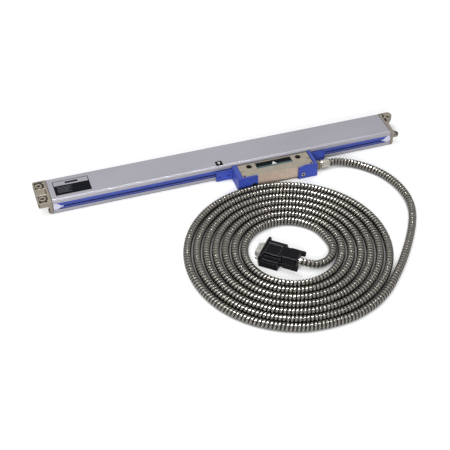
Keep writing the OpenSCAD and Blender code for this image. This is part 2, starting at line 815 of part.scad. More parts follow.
module scanning_reticle() {
    color([0.7, 0.85, 0.85, 0.6])
        block(head_rest - reticle_size[0] / 2, head_rest + reticle_size[0] / 2,
              optics_y - reticle_size[1] / 2, optics_y + reticle_size[1] / 2,
              under_glass - reticle_thickness, under_glass);
}

module detector_board() {
    color([0.10, 0.35, 0.20])
        block(head_rest - detector_size[0] / 2, head_rest + detector_size[0] / 2,
              optics_y - detector_size[1] / 2, optics_y + detector_size[1] / 2,
              carriage_low, carriage_low + detector_thickness);
    color([0.1, 0.1, 0.12])
        block(head_rest - 3.5, head_rest + 3.5, optics_y - 2.2, optics_y + 2.2,
              carriage_low + detector_thickness, carriage_low + detector_thickness + 1.2);
}

// ---- Alignment brackets ---------------------------------------------------------

module bracket_screw_cut(x) {
    rod_y(plate_front - 1, screw_recess + 1.2, x, bracket_screw_z, bracket_screw_head + 0.1);
    rod_y(plate_front - 1, bracket_plate + 2, x, bracket_screw_z, bracket_screw_shank + slack);
}

module left_bracket() {
    wall_in = left_wall_out + left_wall;
    color([0.20, 0.27, 0.66]) difference() {
        union() {
            block(left_wall_out, head_left + bracket_reach - 2, plate_front, head_front, 0, bracket_top);
            block(left_wall_out, wall_in, plate_front, arm_back, 0, bracket_top);
            block(left_wall_out - arm_length, wall_in, arm_front, arm_back, arm_low, arm_top);
        }
        bracket_screw_cut(head_holes[0]);
        for (x = [arm_length - 4, 3.5])
            rod_y(arm_front - 1, arm_thickness + 2, left_wall_out - x, slot_z - 3, 0.9);
    }
}

module right_bracket() {
    wall_in = right_wall_out - right_wall;
    plate_x = head_right - bracket_reach;
    color([0.20, 0.27, 0.66]) difference() {
        union() {
            translate([0, head_front, 0]) rotate([90, 0, 0]) linear_extrude(bracket_plate)
                polygon([[plate_x, 0], [right_wall_out, 0], [right_wall_out, bracket_top],
                         [plate_x + chamfer, bracket_top], [plate_x, bracket_top - chamfer / 4]]);
            block(wall_in, right_wall_out, plate_front, arm_back, 0, bracket_top);
            block(wall_in, right_wall_out + arm_length, arm_front, arm_back, arm_low, arm_top);
        }
        bracket_screw_cut(head_holes[1]);
        rod_x(wall_in - 1, right_wall + 2, gland_y, gland_z, gland_diameter / 2 + gap);
    }
}

module bracket_screws() {
    color([0.8, 0.8, 0.78]) for (x = head_holes) difference() {
        union() {
            rod_y(plate_front + 0.2, screw_recess, x, bracket_screw_z, bracket_screw_head);
            rod_y(plate_front + 0.2 + screw_recess - eps, bracket_plate + 2.6, x, bracket_screw_z,
                  bracket_screw_shank);
        }
        translate([x, plate_front + 1.2, bracket_screw_z]) rotate([90, 0, 0])
            cylinder(h = 2, r = 1, $fn = 6);
    }
}

// ---- Gland and cable ------------------------------------------------------------

module cable_gland() {
    color([0.78, 0.77, 0.74]) difference() {
        union() {
            rod_x(head_right - head_wall - nut_thickness - 0.6, head_wall + nut_thickness + 1,
                  gland_y, gland_z, gland_thread);
            rod_x(head_right, gland_end - head_right, gland_y, gland_z, gland_diameter / 2);
        }
        rod_x(head_right - head_wall - 10, gland_end, gland_y, gland_z, wire_bore);
    }
}

module gland_nut() {
    color([0.7, 0.68, 0.6]) translate([head_right - head_wall - nut_thickness, gland_y, gland_z])
        rotate([0, 90, 0]) difference() {
            rotate([0, 0, 30]) cylinder(h = nut_thickness, r = nut_flats / cos(30), $fn = 6);
            translate([0, 0, -1]) cylinder(h = nut_thickness + 2, r = gland_thread + slack);
        }
}

function lying(points) = [for (p = points) [p[0], p[1], on_ground + p[2]]];

module cable_tail() {
    color([0.55, 0.55, 0.52])
        cable(concat([[gland_end, gland_y, gland_z]], lying(tail_points)), cable_radius, cable_sides,
              [1, 0, 0], tangent(tail_points, len(tail_points) - 1));
}

module cable_coil() {
    color([0.52, 0.52, 0.50])
        translate([coil_centre[0] - coil_drift, coil_centre[1], 0])
            rotate_extrude($fn = 96)
                round_rect(coil_in, coil_out, on_ground - cable_radius, on_ground + cable_radius, 2);
}

module cable_lead() {
    color([0.55, 0.55, 0.52])
        cable(concat(lying(lead_points), [plug_origin - plug_exit * plug_axis]),
              cable_radius, cable_sides, tangent(lead_points, 0), plug_axis);
}

// ---- Plug, drawn with its mating end towards +X ------------------------------------

module at_plug() {
    translate(plug_origin) rotate([0, 0, plug_angle]) children();
}

// The D outline of the shell, reduced by an inset on every side.
module d_outline(inset) {
    half = shell_width / 2 - inset;
    top = shell_height / 2 - inset;
    lean = shell_height * tan(10);
    cut = 1.6;
    polygon([
        [-half + cut, top], [half - cut, top], [half, top - cut],
        [half - lean + cut / 3, -top + cut], [half - lean - cut, -top],
        [-half + lean + cut, -top], [-half + lean - cut / 3, -top + cut], [-half, top - cut]
    ]);
}

module d_prism(x0, length, inset) {
    translate([x0, 0, 0]) rotate([90, 0, 90]) linear_extrude(length) d_outline(inset);
}

module hood_plan(inset) {
    round_rect(-hood_front + inset, -inset, -hood_width / 2 + inset, hood_width / 2 - inset, 1);
    round_rect(-hood_length + inset, -hood_front + 4, -hood_neck / 2 + inset, hood_neck / 2 - inset, 1);
}

module hood_shell(side) {
    half = hood_thickness / 2;
    difference() {
        translate([0, 0, side > 0 ? 0 : -half]) linear_extrude(half) hood_plan(0);
        difference() {
            translate([0, 0, side > 0 ? -eps : -half + hood_wall])
                linear_extrude(half - hood_wall + eps) hood_plan(hood_wall);
            for (p = hood_screw_places)
                translate([p[0], p[1], -half]) cylinder(h = hood_thickness, r = 2.4);
            for (y = [-screw_y, screw_y])
                block(-hood_front, 0, y - thumb_shank - 1.2, y + thumb_shank + 1.2, -half, half);
        }
        for (y = [-screw_y, screw_y]) rod_x(-hood_front - 1, hood_front + 2, y, 0, thumb_shank + 0.08);
        d_prism(-hood_wall - 1, hood_wall + 2, -slack);
        rod_x(-hood_length - 1, hood_wall + 2, 0, 0, cable_ring_spigot + slack);
        for (p = hood_screw_places) {
            translate([p[0], p[1], -half - 1]) cylinder(h = 2.6, r = 2.1);
            translate([p[0], p[1], -half - 1]) cylinder(h = half + 5, r = 1.1);
        }
    }
}

module hood_upper_shell() { color([0.09, 0.09, 0.10]) at_plug() hood_shell(1); }
module hood_lower_shell() { color([0.09, 0.09, 0.10]) at_plug() hood_shell(-1); }

module hood_screws() {
    half = hood_thickness / 2;
    color([0.5, 0.5, 0.5]) at_plug() for (p = hood_screw_places) translate([p[0], p[1], -half]) {
        translate([0, 0, 0.2]) cylinder(h = 1.4, r = 2);
        translate([0, 0, 0.2]) cylinder(h = half + 3, r = 1.05);
    }
}

module hood_cable_ring() {
    color([0.8, 0.8, 0.78]) at_plug() difference() {
        union() {
            rod_x(-hood_length - cable_ring_length, cable_ring_length, 0, 0, cable_radius + 0.4);
            rod_x(-hood_length - eps, hood_wall + 1, 0, 0, cable_ring_spigot);
        }
        rod_x(-hood_length - cable_ring_length - 1, cable_ring_length + 6, 0, 0, wire_bore);
    }
}

module plug_flange() {
    color([0.78, 0.77, 0.72]) at_plug() {
        difference() {
            rotate([90, 0, 90]) linear_extrude(flange_thickness)
                round_rect(-flange_width / 2, flange_width / 2, -flange_height / 2, flange_height / 2, 2.5);
            d_prism(-1, flange_thickness + 2, shell_wall);
            for (y = [-screw_y, screw_y]) rod_x(-1, 4, y, 0, thumb_shank + 0.15);
        }
        difference() {
            d_prism(flange_thickness - eps, shell_depth, 0);
            d_prism(flange_thickness - 1, shell_depth + 2, shell_wall);
        }
    }
}

module plug_insert() {
    color([0.06, 0.06, 0.07]) at_plug() difference() {
        d_prism(-insert_depth, insert_depth + flange_thickness + 0.8, shell_wall + slack);
        for (p = pin_places()) rod_x(-insert_depth - 1, 12, p[0], p[1], pin_radius + slack);
    }
}

function pin_places() = concat(
    [for (i = [-2 : 2]) [i * pin_pitch, pin_row]],
    [for (i = [-1.5 : 1.5]) [i * pin_pitch, -pin_row]]
);

module plug_pins() {
    color([0.85, 0.72, 0.35]) at_plug() for (p = pin_places())
        rod_x(-insert_depth - 2, insert_depth + 2 + pin_length, p[0], p[1], pin_radius);
}

module thumbscrew(y) {
    at_plug() {
        rod_x(-hood_front - gap - eps, hood_front + gap + thumb_tip, y, 0, thumb_shank);
        rod_x(-hood_front - gap - thumb_grip_length, thumb_grip_length, y, 0, thumb_radius);
    }
}

module left_thumbscrew() { color([0.08, 0.08, 0.09]) thumbscrew(screw_y); }
module right_thumbscrew() { color([0.08, 0.08, 0.09]) thumbscrew(-screw_y); }

scale_housing();
upper_lip_seal();
lower_lip_seal();
glass_scale();
glass_clamp_cord();
left_end_gasket();
right_end_gasket();
left_end_cap();
right_end_cap();
left_cap_screws();
right_cap_screws();
nameplate();
reference_label();
head_housing();
head_bottom_cover();
cover_screws();
window_label();
index_mark();
head_grub_screws();
signal_board();
head_blade();
blade_screws();
coupling_spring();
scanning_carriage();
led_module();
scanning_reticle();
detector_board();
face_roller_a();
face_roller_b();
face_roller_c();
edge_roller_a();
edge_roller_b();
left_bracket();
right_bracket();
bracket_screws();
cable_gland();
gland_nut();
cable_tail();
cable_coil();
cable_lead();
hood_upper_shell();
hood_lower_shell();
hood_screws();
hood_cable_ring();
plug_flange();
plug_insert();
plug_pins();
left_thumbscrew();
right_thumbscrew();
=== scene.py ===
"""Looks of a sealed linear glass scale with its reading head, brackets and armoured cable.

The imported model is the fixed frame. Each sub-assembly below is a class that refines the
frame's pieces or builds finer ones in their place, and dresses them in procedural
materials. Lengths are in metres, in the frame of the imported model: X along the scale,
Y towards its back, Z up.
"""
import logging
import math
from dataclasses import dataclass, field
from enum import Enum, IntEnum
from typing import Callable, ClassVar, Iterable, NamedTuple, Sequence

import bmesh
import bpy
import numpy as np
from mathutils import Matrix, Vector


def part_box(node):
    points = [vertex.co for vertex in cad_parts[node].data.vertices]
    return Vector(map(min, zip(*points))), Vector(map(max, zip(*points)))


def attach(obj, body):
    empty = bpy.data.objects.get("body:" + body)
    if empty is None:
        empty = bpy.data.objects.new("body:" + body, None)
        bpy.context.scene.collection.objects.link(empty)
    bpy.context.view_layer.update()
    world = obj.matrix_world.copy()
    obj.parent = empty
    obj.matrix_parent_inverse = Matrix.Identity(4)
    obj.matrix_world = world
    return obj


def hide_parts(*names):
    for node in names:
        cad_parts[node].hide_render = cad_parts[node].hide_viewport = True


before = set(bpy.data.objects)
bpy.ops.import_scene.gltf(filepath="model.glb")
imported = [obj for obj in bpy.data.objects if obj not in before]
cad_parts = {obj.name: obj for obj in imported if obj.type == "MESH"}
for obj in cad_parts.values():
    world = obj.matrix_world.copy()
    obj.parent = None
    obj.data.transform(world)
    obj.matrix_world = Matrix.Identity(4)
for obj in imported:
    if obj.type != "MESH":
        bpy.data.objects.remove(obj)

MM = 0.001
Colour = tuple[float, float, float]
Point = tuple[float, float, float]
Plan = Sequence[tuple[float, float]]
FaceTest = Callable[[Vector, Vector], bool]
Piece = bpy.types.Object
Shape = bmesh.types.BMesh
Socket = bpy.types.NodeSocket
log = logging.getLogger("scale")


class Body(Enum):
    """The moving bodies that pieces ride on."""

    SCALE = "scale"
    HEAD = "reading_head"
    LEFT_SCREW = "left_jackscrew"
    RIGHT_SCREW = "right_jackscrew"


class Zone(IntEnum):
    """Material indices of a piece's faces; index 0 is its main surface."""

    # TRIM: the roundings, which carry a painted highlight on the housing, caps and hood and a
    # painted shade on the head and brackets; on the thumbscrews it marks the steel tips.
    TRIM = 1
    # Painted shade in holes, sockets, pockets, hollows and dimples.
    PAINTED_SHADE = 2
    # Painted shade on the end caps' outer sides and painted light on the head's front face.
    SIDE_LIGHT_AND_SHADE = 3


# ---- Materials ---------------------------------------------------------------


class Tree:
    """A node tree, with short calls that add and join nodes."""

    def __init__(self, tree: bpy.types.NodeTree) -> None:
        """Takes hold of a node tree and empties it."""
        self.tree = tree
        self.tree.nodes.clear()

    def feed(self, node: bpy.types.Node, feeds: dict[str | int, object]) -> None:
        """Fills a node's inputs.

        Args:
            node: the node.
            feeds: what goes into each input: a socket is linked, a plain value is set.
        """
        for key, value in feeds.items():
            if isinstance(value, Socket):
                self.tree.links.new(value, node.inputs[key])
            else:
                node.inputs[key].default_value = value

    def add(self, kind: str, feeds: dict[str | int, object] | None = None,
            **settings: object) -> bpy.types.Node:
        """Adds a node.

        Args:
            kind: Blender's name of the node type, without ShaderNode.
            feeds: what goes into its inputs.
            **settings: attributes to set on it.

        Returns:
            The new node.
        """
        node = self.tree.nodes.new(f"ShaderNode{kind}")
        for key, value in settings.items():
            setattr(node, key, value)
        self.feed(node, feeds or {})
        return node

    def maths(self, operation: str, first: object, second: object) -> Socket:
        """Adds a calculation with two values.

        Args:
            operation: Blender's name of the operation.
            first: a socket or a number.
            second: a socket or a number.

        Returns:
            The result.
        """
        return self.add("Math", {0: first, 1: second}, operation=operation).outputs[0]


class Graph(Tree):
    """The node tree of one material, around its shader."""

    def __init__(self, name: str) -> None:
        """Starts a material.

        Args:
            name: name of the material.
        """
        self.material = bpy.data.materials.new(name)
        self.material.use_nodes = True
        super().__init__(self.material.node_tree)
        self.shader = self.add("BsdfPrincipled")
        self.add("OutputMaterial", {"Surface": self.shader.outputs["BSDF"]})
        self.place = self.add("TexCoord").outputs["Object"]

    def set(self, **values: object) -> None:
        """Fills the shader's inputs, with _ for a space in their names."""
        self.feed(self.shader, {key.replace("_", " "): value for key, value in values.items()})

    def noise(self, scale: Point, detail: float) -> Socket:
        """Fractal noise, with a scale along each axis.

        Args:
            scale: cells per metre along X, Y and Z.
            detail: number of octaves.

        Returns:
            The noise from 0 to 1.
        """
        mapping = self.add("Mapping", {"Vector": self.place, "Scale": scale})
        return self.add("TexNoise", {"Vector": mapping.outputs["Vector"], "Scale": 1.0,
                                     "Detail": detail}).outputs["Fac"]

    def vary(self, value: Socket, colour: Colour, down: float, up: float) -> Socket:
        """Lets a colour get darker and lighter.

        Args:
            value: what drives it, from 0 to 1.
            colour: the mean colour.
            down: share by which it gets darker.
            up: share by which it gets lighter.

        Returns:
            The colour socket.
        """
        node = self.add("ValToRGB", {"Fac": value})
        stops = zip(node.color_ramp.elements, (0.3, 0.7), (1 - down, 1 + up))
        for element, place, factor in stops:
            element.position = place
            element.color = (*(min(1.0, c * factor) for c in colour), 1.0)
        return node.outputs["Color"]

    def spread(self, value: Socket, low: float, high: float) -> Socket:
        """Maps a value from 0 to 1 onto the range from low to high."""
        return self.add("MapRange", {"Value": value, "To Min": low, "To Max": high}
                        ).outputs["Result"]

    def bump(self, height: Socket, depth: float, strength: float) -> None:
        """Feeds a bump to the shader's normal.

        Args:
            height: height from 0 to 1.
            depth: what a height of 1 measures, in metres.
            strength: share of the bump that shows.
        """
        node = self.add("Bump", {"Height": height, "Distance": depth, "Strength": strength})
        self.set(Normal=node.outputs["Normal"])


class Skin(NamedTuple):
    """How the surface of one kind of finish varies.

    Attributes:
        grain: cells of the fine grain per metre along X, Y and Z.
        octaves: octaves of the grain.
        patches: cells of the change of tone per metre along X, Y and Z.
        layers: octaves of the change of tone.
        swing: share by which the colour gets darker and lighter.
        smoothest: least roughness, as a share of the mean.
        roughest: greatest roughness, as a share of the mean.
        strength: share of the grain's bump that shows.
    """

    grain: Point
    octaves: float
    patches: Point
    layers: float
    swing: float
    smoothest: float
    roughest: float
    strength: float


@dataclass(frozen=True)
class Finish:
    """A procedural finish; each kind below has its own skin or texture.

    Attributes:
        name: name of the material.
        colour: base colour, linear.
        roughness: mean roughness.
        metallic: 1 for bare metal.
        depth: depth of the grain's bump, in metres.
        gloss: specular level; 0.5 is plain.
    """

    name: str
    colour: Colour
    roughness: float
    metallic: float = 0.0
    depth: float = 0.03 * MM
    gloss: float = 0.5
    skin: ClassVar[Skin]

    def material(self) -> bpy.types.Material:
        """Makes the finish's material on first use.

        Returns:
            The material.
        """
        label = f"{self.name}_finish"
        found = bpy.data.materials.get(label)
        if found:
            return found
        graph = Graph(label)
        graph.set(Base_Color=(*self.colour, 1.0), Roughness=self.roughness,
                  Metallic=self.metallic, Specular_IOR_Level=self.gloss)
        self.texture(graph)
        return graph.material

    def texture(self, graph: Graph) -> None:
        """Adds the skin: fine grain in roughness and bump, and a change of tone.

        Args:
            graph: the material's node tree.
        """
        skin = self.skin
        grain = graph.noise(skin.grain, skin.octaves)
        patches = graph.noise(skin.patches, skin.layers)
        graph.set(Base_Color=graph.vary(patches, self.colour, skin.swing, skin.swing),
                  Roughness=graph.spread(grain, self.roughness * skin.smoothest,
                                         self.roughness * skin.roughest))
        graph.bump(grain, self.depth, skin.strength)


@dataclass(frozen=True)
class Extruded(Finish):
    """Anodised aluminium with faint die lines along X."""

    depth: float = 0.02 * MM
    gloss: float = 0.25
    skin = Skin((3, 2600, 2600), 2.0, (14, 40, 40), 2.0, 0.035, 0.8, 1.25, 0.35)


@dataclass(frozen=True)
class Cast(Finish):
    """Die-cast metal under thin paint, with a grainy skin and blotches."""

    depth: float = 0.09 * MM
    skin = Skin((1500, 1500, 1500), 4.0, (160, 160, 160), 3.0, 0.09, 0.8, 1.2, 0.5)


@dataclass(frozen=True)
class Moulded(Finish):
    """Moulded plastic with a spark-eroded skin and a slight change of tone."""

    skin = Skin((2200, 2200, 2200), 3.0, (60, 60, 60), 2.0, 0.08, 0.85, 1.2, 0.6)


@dataclass(frozen=True)
class Streaked(Finish):
    """Extruded rubber, with streaks along X and dusty patches."""

    skin = Skin((8, 1400, 1400), 3.0, (90, 300, 300), 4.0, 0.1, 0.8, 1.2, 0.4)


@dataclass(frozen=True)
class Turned(Finish):
    """Turned or plated metal, with fine scratches and a slight tarnish."""

    depth: float = 0.01 * MM
    skin = Skin((2500, 2500, 500), 3.0, (220, 220, 220), 3.0, 0.08, 0.6, 1.5, 0.3)


@dataclass(frozen=True)
class Hose(Finish):
    """Interlocked steel strip: steel crests, with painted shade on the flanks and steps between
    them.

    Attributes:
        groove: colour of the painted shade on the flanks and steps.
    """

    groove: Colour = (0.001, 0.001, 0.001)

    def texture(self, graph: Graph) -> None:
        """Paints shade on the flanks and steps and lets each turn of strip differ a little.

        Args:
            graph: the material's node tree.
        """
        unshaded = graph.add("Attribute", attribute_name="unshaded").outputs["Fac"]
        patch = graph.noise((420, 420, 420), 3.0)
        # The mesh attribute mixes the near-black groove colour, as painted shade, onto the flanks
        # and steps; crests keep the steel colour.
        mix = graph.add("Mix", data_type="RGBA")
        graph.feed(mix, {"Factor": unshaded, "A": (*self.groove, 1.0),
                         "B": graph.vary(patch, self.colour, 0.15, 0.12)})
        graph.set(Base_Color=mix.outputs["Result"],
                  Roughness=graph.spread(patch, self.roughness * 0.85, self.roughness * 1.15))


@dataclass(frozen=True)
class Clear(Finish):
    """Glass."""

    def texture(self, graph: Graph) -> None:
        """Makes the surface clear, with a trace of dust."""
        dust = graph.noise((300, 300, 300), 3.0)
        graph.set(Transmission_Weight=0.9, IOR=1.5, Roughness=graph.spread(dust, 0.02, 0.12))


ALUMINIUM = Extruded("anodised_aluminium", (0.335, 0.326, 0.362), 0.5, 0.2)
# Painted highlight along the housing's rounded edges.
HOUSING_EDGE_HIGHLIGHT = Extruded("housing_edge_highlight", (0.52, 0.51, 0.56), 0.35, 0.5)
CAP_PAINT = Cast("cap_paint", (0.235, 0.20, 0.155), 0.5, 0.2)
# Painted shade on the floors of the caps' pockets and hollows.
CAP_POCKET_SHADE = Cast("cap_pocket", (0.06, 0.049, 0.037), 0.65, 0.1)
# Painted shade on the caps' outer upright faces.
CAP_SIDE_SHADE = Cast("cap_side_shade", (0.12, 0.105, 0.078), 0.6, 0.15)
# Painted highlight on the caps' rounded edges.
CAP_EDGE_HIGHLIGHT = Cast("cap_edge_highlight", (0.32, 0.28, 0.225), 0.42, 0.35)
HEAD_PAINT = Cast("head_paint", (0.295, 0.257, 0.197), 0.5, 0.15)
# Painted shade on the head's rounded edges.
HEAD_EDGE_SHADE = Cast("head_edge_shade", (0.22, 0.187, 0.145), 0.5, 0.15)
# The head's paint, lighter on its front face as painted light.
HEAD_FRONT_LIT = Cast("head_front", (0.535, 0.42, 0.333), 0.5, 0.1)
# Painted shade in the head's bores, end slots and corner holes.
HEAD_BORE_SHADE = Cast("head_bore_shade", (0.035, 0.028, 0.022), 0.6, 0.2)
BLUE_PLASTIC = Moulded("bracket_blue", (0.040, 0.072, 0.385), 0.45, 0.0, 0.03 * MM, 0.25)
# Painted shade on the brackets' rounded edges.
BLUE_EDGE_SHADE = Moulded("bracket_edge_shade_blue", (0.016, 0.028, 0.18), 0.42, 0.0, 0.02 * MM, 0.3)
# Painted shade on the walls of the brackets' screw holes.
BLUE_HOLE_SHADE = Moulded("bracket_hole_shade_blue", (0.006, 0.008, 0.04), 0.6)
UPPER_LIP = Streaked("upper_lip_blue", (0.036, 0.060, 0.30), 0.5)
# The same rubber as the upper lip, a little darker as painted shade.
LOWER_LIP_SHADED = Streaked("lower_lip_shaded_blue", (0.034, 0.054, 0.26), 0.5)
SLOT_PLUG = Moulded("slot_plug_grey", (0.50, 0.50, 0.60), 0.4)
BLACK_RUBBER = Streaked("black_rubber", (0.012, 0.012, 0.012), 0.6)
STEEL = Turned("screw_steel", (0.46, 0.45, 0.42), 0.3, 1.0)
DULL_STEEL = Turned("cap_screw_steel", (0.15, 0.14, 0.12), 0.4, 1.0)
# Painted shade in the screws' drive sockets.
SOCKET_SHADE = Turned("socket_shade", (0.015, 0.014, 0.012), 0.5, 0.6)
BLACK_STEEL = Turned("black_steel", (0.02, 0.02, 0.02), 0.45, 0.8)
NICKEL = Turned("gland_nickel", (0.42, 0.40, 0.355), 0.2, 1.0)
GLAND_BRASS = Turned("gland_brass", (0.18, 0.145, 0.09), 0.32, 1.0)
TIN = Turned("tin_plate", (0.27, 0.262, 0.24), 0.36, 1.0)
# Painted shade in the shell's dimples.
DIMPLE_SHADE = Turned("tin_dimple_shade", (0.10, 0.10, 0.09), 0.4, 1.0)
GOLD = Turned("contact_gold", (0.75, 0.55, 0.22), 0.25, 1.0)
BRONZE = Turned("spring_bronze", (0.55, 0.36, 0.16), 0.3, 1.0)
HOSE_STEEL = Hose("hose_steel", (0.235, 0.224, 0.200), 0.22, 0.95)
HOOD_BLACK = Moulded("hood_black", (0.004, 0.004, 0.005), 0.36, 0.0, 0.04 * MM, 0.05)
# Painted highlight on the hood's rounded edges.
HOOD_EDGE_HIGHLIGHT = Moulded("hood_edge_highlight", (0.018, 0.019, 0.026), 0.3, 0.0, 0.02 * MM, 0.35)
INSERT_BLACK = Moulded("insert_black", (0.010, 0.010, 0.011), 0.5, 0.0, 0.03 * MM, 0.3)
CARRIAGE_GREY = Moulded("carriage_grey", (0.06, 0.063, 0.07), 0.5)
LAMP_RESIN = Moulded("lamp_resin", (0.62, 0.60, 0.52), 0.2)
BOARD_GREEN = Moulded("board_green", (0.01, 0.09, 0.035), 0.35)
FILM_BLACK = Moulded("film_black", (0.005, 0.006, 0.008), 0.4, 0.0, 0.005 * MM, 0.03)
FILM_SILVER = Moulded("film_silver", (0.33, 0.32, 0.36), 0.38, 0.3, 0.005 * MM)
FILM_RULE = Moulded("film_rule", (0.10, 0.10, 0.115), 0.5, 0.0, 0.005 * MM)
FILM_WHITE = Moulded("film_white", (0.66, 0.67, 0.66), 0.45, 0.0, 0.005 * MM)
FILM_TEAL = Moulded("film_teal", (0.030, 0.085, 0.095), 0.3, 0.0, 0.005 * MM)
GASKET = Streaked("gasket_grey", (0.10, 0.095, 0.09), 0.6)
SCALE_GLASS = Clear("scale_glass", (0.85, 0.95, 0.93), 0.05)


# ---- Mesh tools ---------------------------------------------------------------


def link(name: str, mesh: bpy.types.Mesh) -> Piece:
    """Puts a mesh in the scene as a new object.

    Args:
        name: name of the piece.
        mesh: its mesh.

    Returns:
        The new object.
    """
    thing = bpy.data.objects.new(name, mesh)
    bpy.context.scene.collection.objects.link(thing)
    return thing


def mesh_object(name: str, vertices: Iterable[Point], faces: Iterable[Sequence[int]]) -> Piece:
    """Makes a mesh object from points and faces.

    Args:
        name: name of the piece.
        vertices: the points.
        faces: indices of each face's corners.

    Returns:
        The new object, in the scene.
    """
    mesh = bpy.data.meshes.new(name)
    mesh.from_pydata(list(vertices), [], list(faces))
    mesh.validate()
    return link(name, mesh)


def from_shape(name: str, shape: Shape) -> Piece:
    """Makes a mesh object from an edited shape and frees the shape.

    Args:
        name: name of the piece.
        shape: the shape.

    Returns:
        The new object.
    """
    mesh = bpy.data.meshes.new(name)
    shape.to_mesh(mesh)
    shape.free()
    return link(name, mesh)


def welded(node: str) -> Shape:
    """Reads a node of the frame and merges its doubled points.

    Args:
        node: the node.

    Returns:
        Its shape, to be freed after use.
    """
    shape = bmesh.new()
    shape.from_mesh(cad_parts[node].data)
    bmesh.ops.remove_doubles(shape, verts=shape.verts, dist=0.001 * MM)
    return shape


def settle(thing: Piece) -> None:
    """Applies a piece's modifiers to its mesh.

    Args:
        thing: the piece.
    """
    bpy.context.view_layer.update()
    evaluated = thing.evaluated_get(bpy.context.evaluated_depsgraph_get())
    mesh = bpy.data.meshes.new_from_object(evaluated)
    thing.modifiers.clear()
    thing.data = mesh


def smooth(thing: Piece, angle: float = 30.0) -> None:
    """Shades a piece smooth, with edges sharper than the angle left crisp."""
    thing.data.shade_smooth()
    thing.data.set_sharp_from_angle(angle=math.radians(angle))


def level(thing: Piece, angle: float = 30.0) -> None:
    """Shades a piece smooth and keeps its large flat faces flat.

    Args:
        thing: the piece.
        angle: edges sharper than this stay crisp, in degrees.
    """
    smooth(thing, angle)
    thing.modifiers.new("normals", "WEIGHTED_NORMAL").keep_sharp = True
    settle(thing)


def open_slots(thing: Piece, count: int) -> None:
    """Gives a piece at least that many material slots."""
    while len(thing.data.materials) < count:
        thing.data.materials.append(None)


def round_edges(thing: Piece, width: float, segments: int = 2) -> None:
    """Rounds the sharp edges of a piece; the roundings take its trim material.

    Args:
        thing: the piece.
        width: width of the rounding, in metres.
        segments: faces across the rounding.
    """
    sharp = 35.0
    open_slots(thing, Zone.TRIM + 1)
    bevel = thing.modifiers.new("edges", "BEVEL")
    # The roundings take the trim finish: on the housing, caps and hood a painted highlight, on
    # the head and brackets a painted shade.
    bevel.material = Zone.TRIM
    bevel.width = width
    bevel.segments = segments
    bevel.limit_method = "ANGLE"
    bevel.angle_limit = math.radians(sharp)
    bevel.use_clamp_overlap = False
    bevel.miter_outer = "MITER_ARC"
    settle(thing)
    level(thing, sharp)


def take(node: str, name: str) -> Piece:
    """Copies a node of the frame and merges its flat faces.

    Args:
        node: the node.
        name: name of the new piece.

    Returns:
        The new piece, with sharp edges.
    """
    shape = welded(node)
    bmesh.ops.dissolve_limit(shape, angle_limit=math.radians(0.6), verts=shape.verts,
                             edges=shape.edges, use_dissolve_boundaries=False)
    return from_shape(name, shape)


def refine(node: str, name: str, width: float = 0.2 * MM, segments: int = 2) -> Piece:
    """Copies a node of the frame, merges its flat faces and rounds its edges.

    Args:
        node: the node.
        name: name of the new piece.
        width: width of the rounding, in metres.
        segments: faces across the rounding.

    Returns:
        The new piece.
    """
    thing = take(node, name)
    round_edges(thing, width, segments)
    return thing


def carve(thing: Piece, cutter: Piece, zone: Zone | None = None) -> None:
    """Cuts one piece out of another and removes the cutter.

    Args:
        thing: the piece that is cut.
        cutter: the shape that is taken away.
        zone: zone of the cut's faces; none keeps them plain.
    """
    if zone is not None:
        for shape in (thing, cutter):
            open_slots(shape, zone + 1)
        tint_faces(cutter, zone, lambda place, normal: True)
    cut = thing.modifiers.new("cut", "BOOLEAN")
    cut.operation = "DIFFERENCE"
    cut.solver = "EXACT"
    cut.material_mode = "INDEX"
    cut.object = cutter
    settle(thing)
    bpy.data.objects.remove(cutter)


def islands(node: str) -> list[tuple[Vector, Vector]]:
    """Finds the loose parts of a node, such as the screws of one set.

    Args:
        node: the node.

    Returns:
        The lowest and highest corner of each loose part.
    """
    shape = welded(node)
    left = set(shape.verts)
    found = []
    while left:
        stack = [left.pop()]
        part = list(stack)
        while stack:
            for edge in stack.pop().link_edges:
                for vert in edge.verts:
                    if vert in left:
                        left.remove(vert)
                        stack.append(vert)
                        part.append(vert)
        places = [v.co for v in part]
        found.append((Vector(min(p[k] for p in places) for k in range(3)),
                      Vector(max(p[k] for p in places) for k in range(3))))
    shape.free()
    return found


def tint_faces(thing: Piece, zone: Zone, test: FaceTest) -> None:
    """Puts some faces of a piece in a zone.

    Args:
        thing: the piece.
        zone: the zone.
        test: takes a face's centre and normal, and is true for those faces.
    """
    for face in thing.data.polygons:
        if test(face.center, face.normal):
            face.material_index = zone


def loft(name: str, rings: Sequence[Sequence[Point]]) -> Piece:
    """Skins a stack of rings and closes both ends.

    Args:
        name: name of the piece.
        rings: rings of equally many points, counter-clockwise seen from the last one.

    Returns:
        The new piece.
    """
    count = len(rings[0])
    last = count * (len(rings) - 1)
    faces: list[Sequence[int]] = [tuple(reversed(range(count)))]
    for i in range(0, last, count):
        for k in range(count):
            n = (k + 1) % count
            faces.append((i + k, i + n, i + n + count, i + k + count))
    faces.append(tuple(range(last, last + count)))
    return mesh_object(name, [point for ring in rings for point in ring], faces)


def prism(name: str, plan: Plan, low: float, high: float) -> Piece:
    """Raises a plan between two heights.

    Args:
        name: name of the piece.
        plan: its corners, counter-clockwise.
        low: lower height.
        high: upper height.

    Returns:
        The piece.
    """
    return loft(name, [[(x, y, z) for x, y in plan] for z in (low, high)])


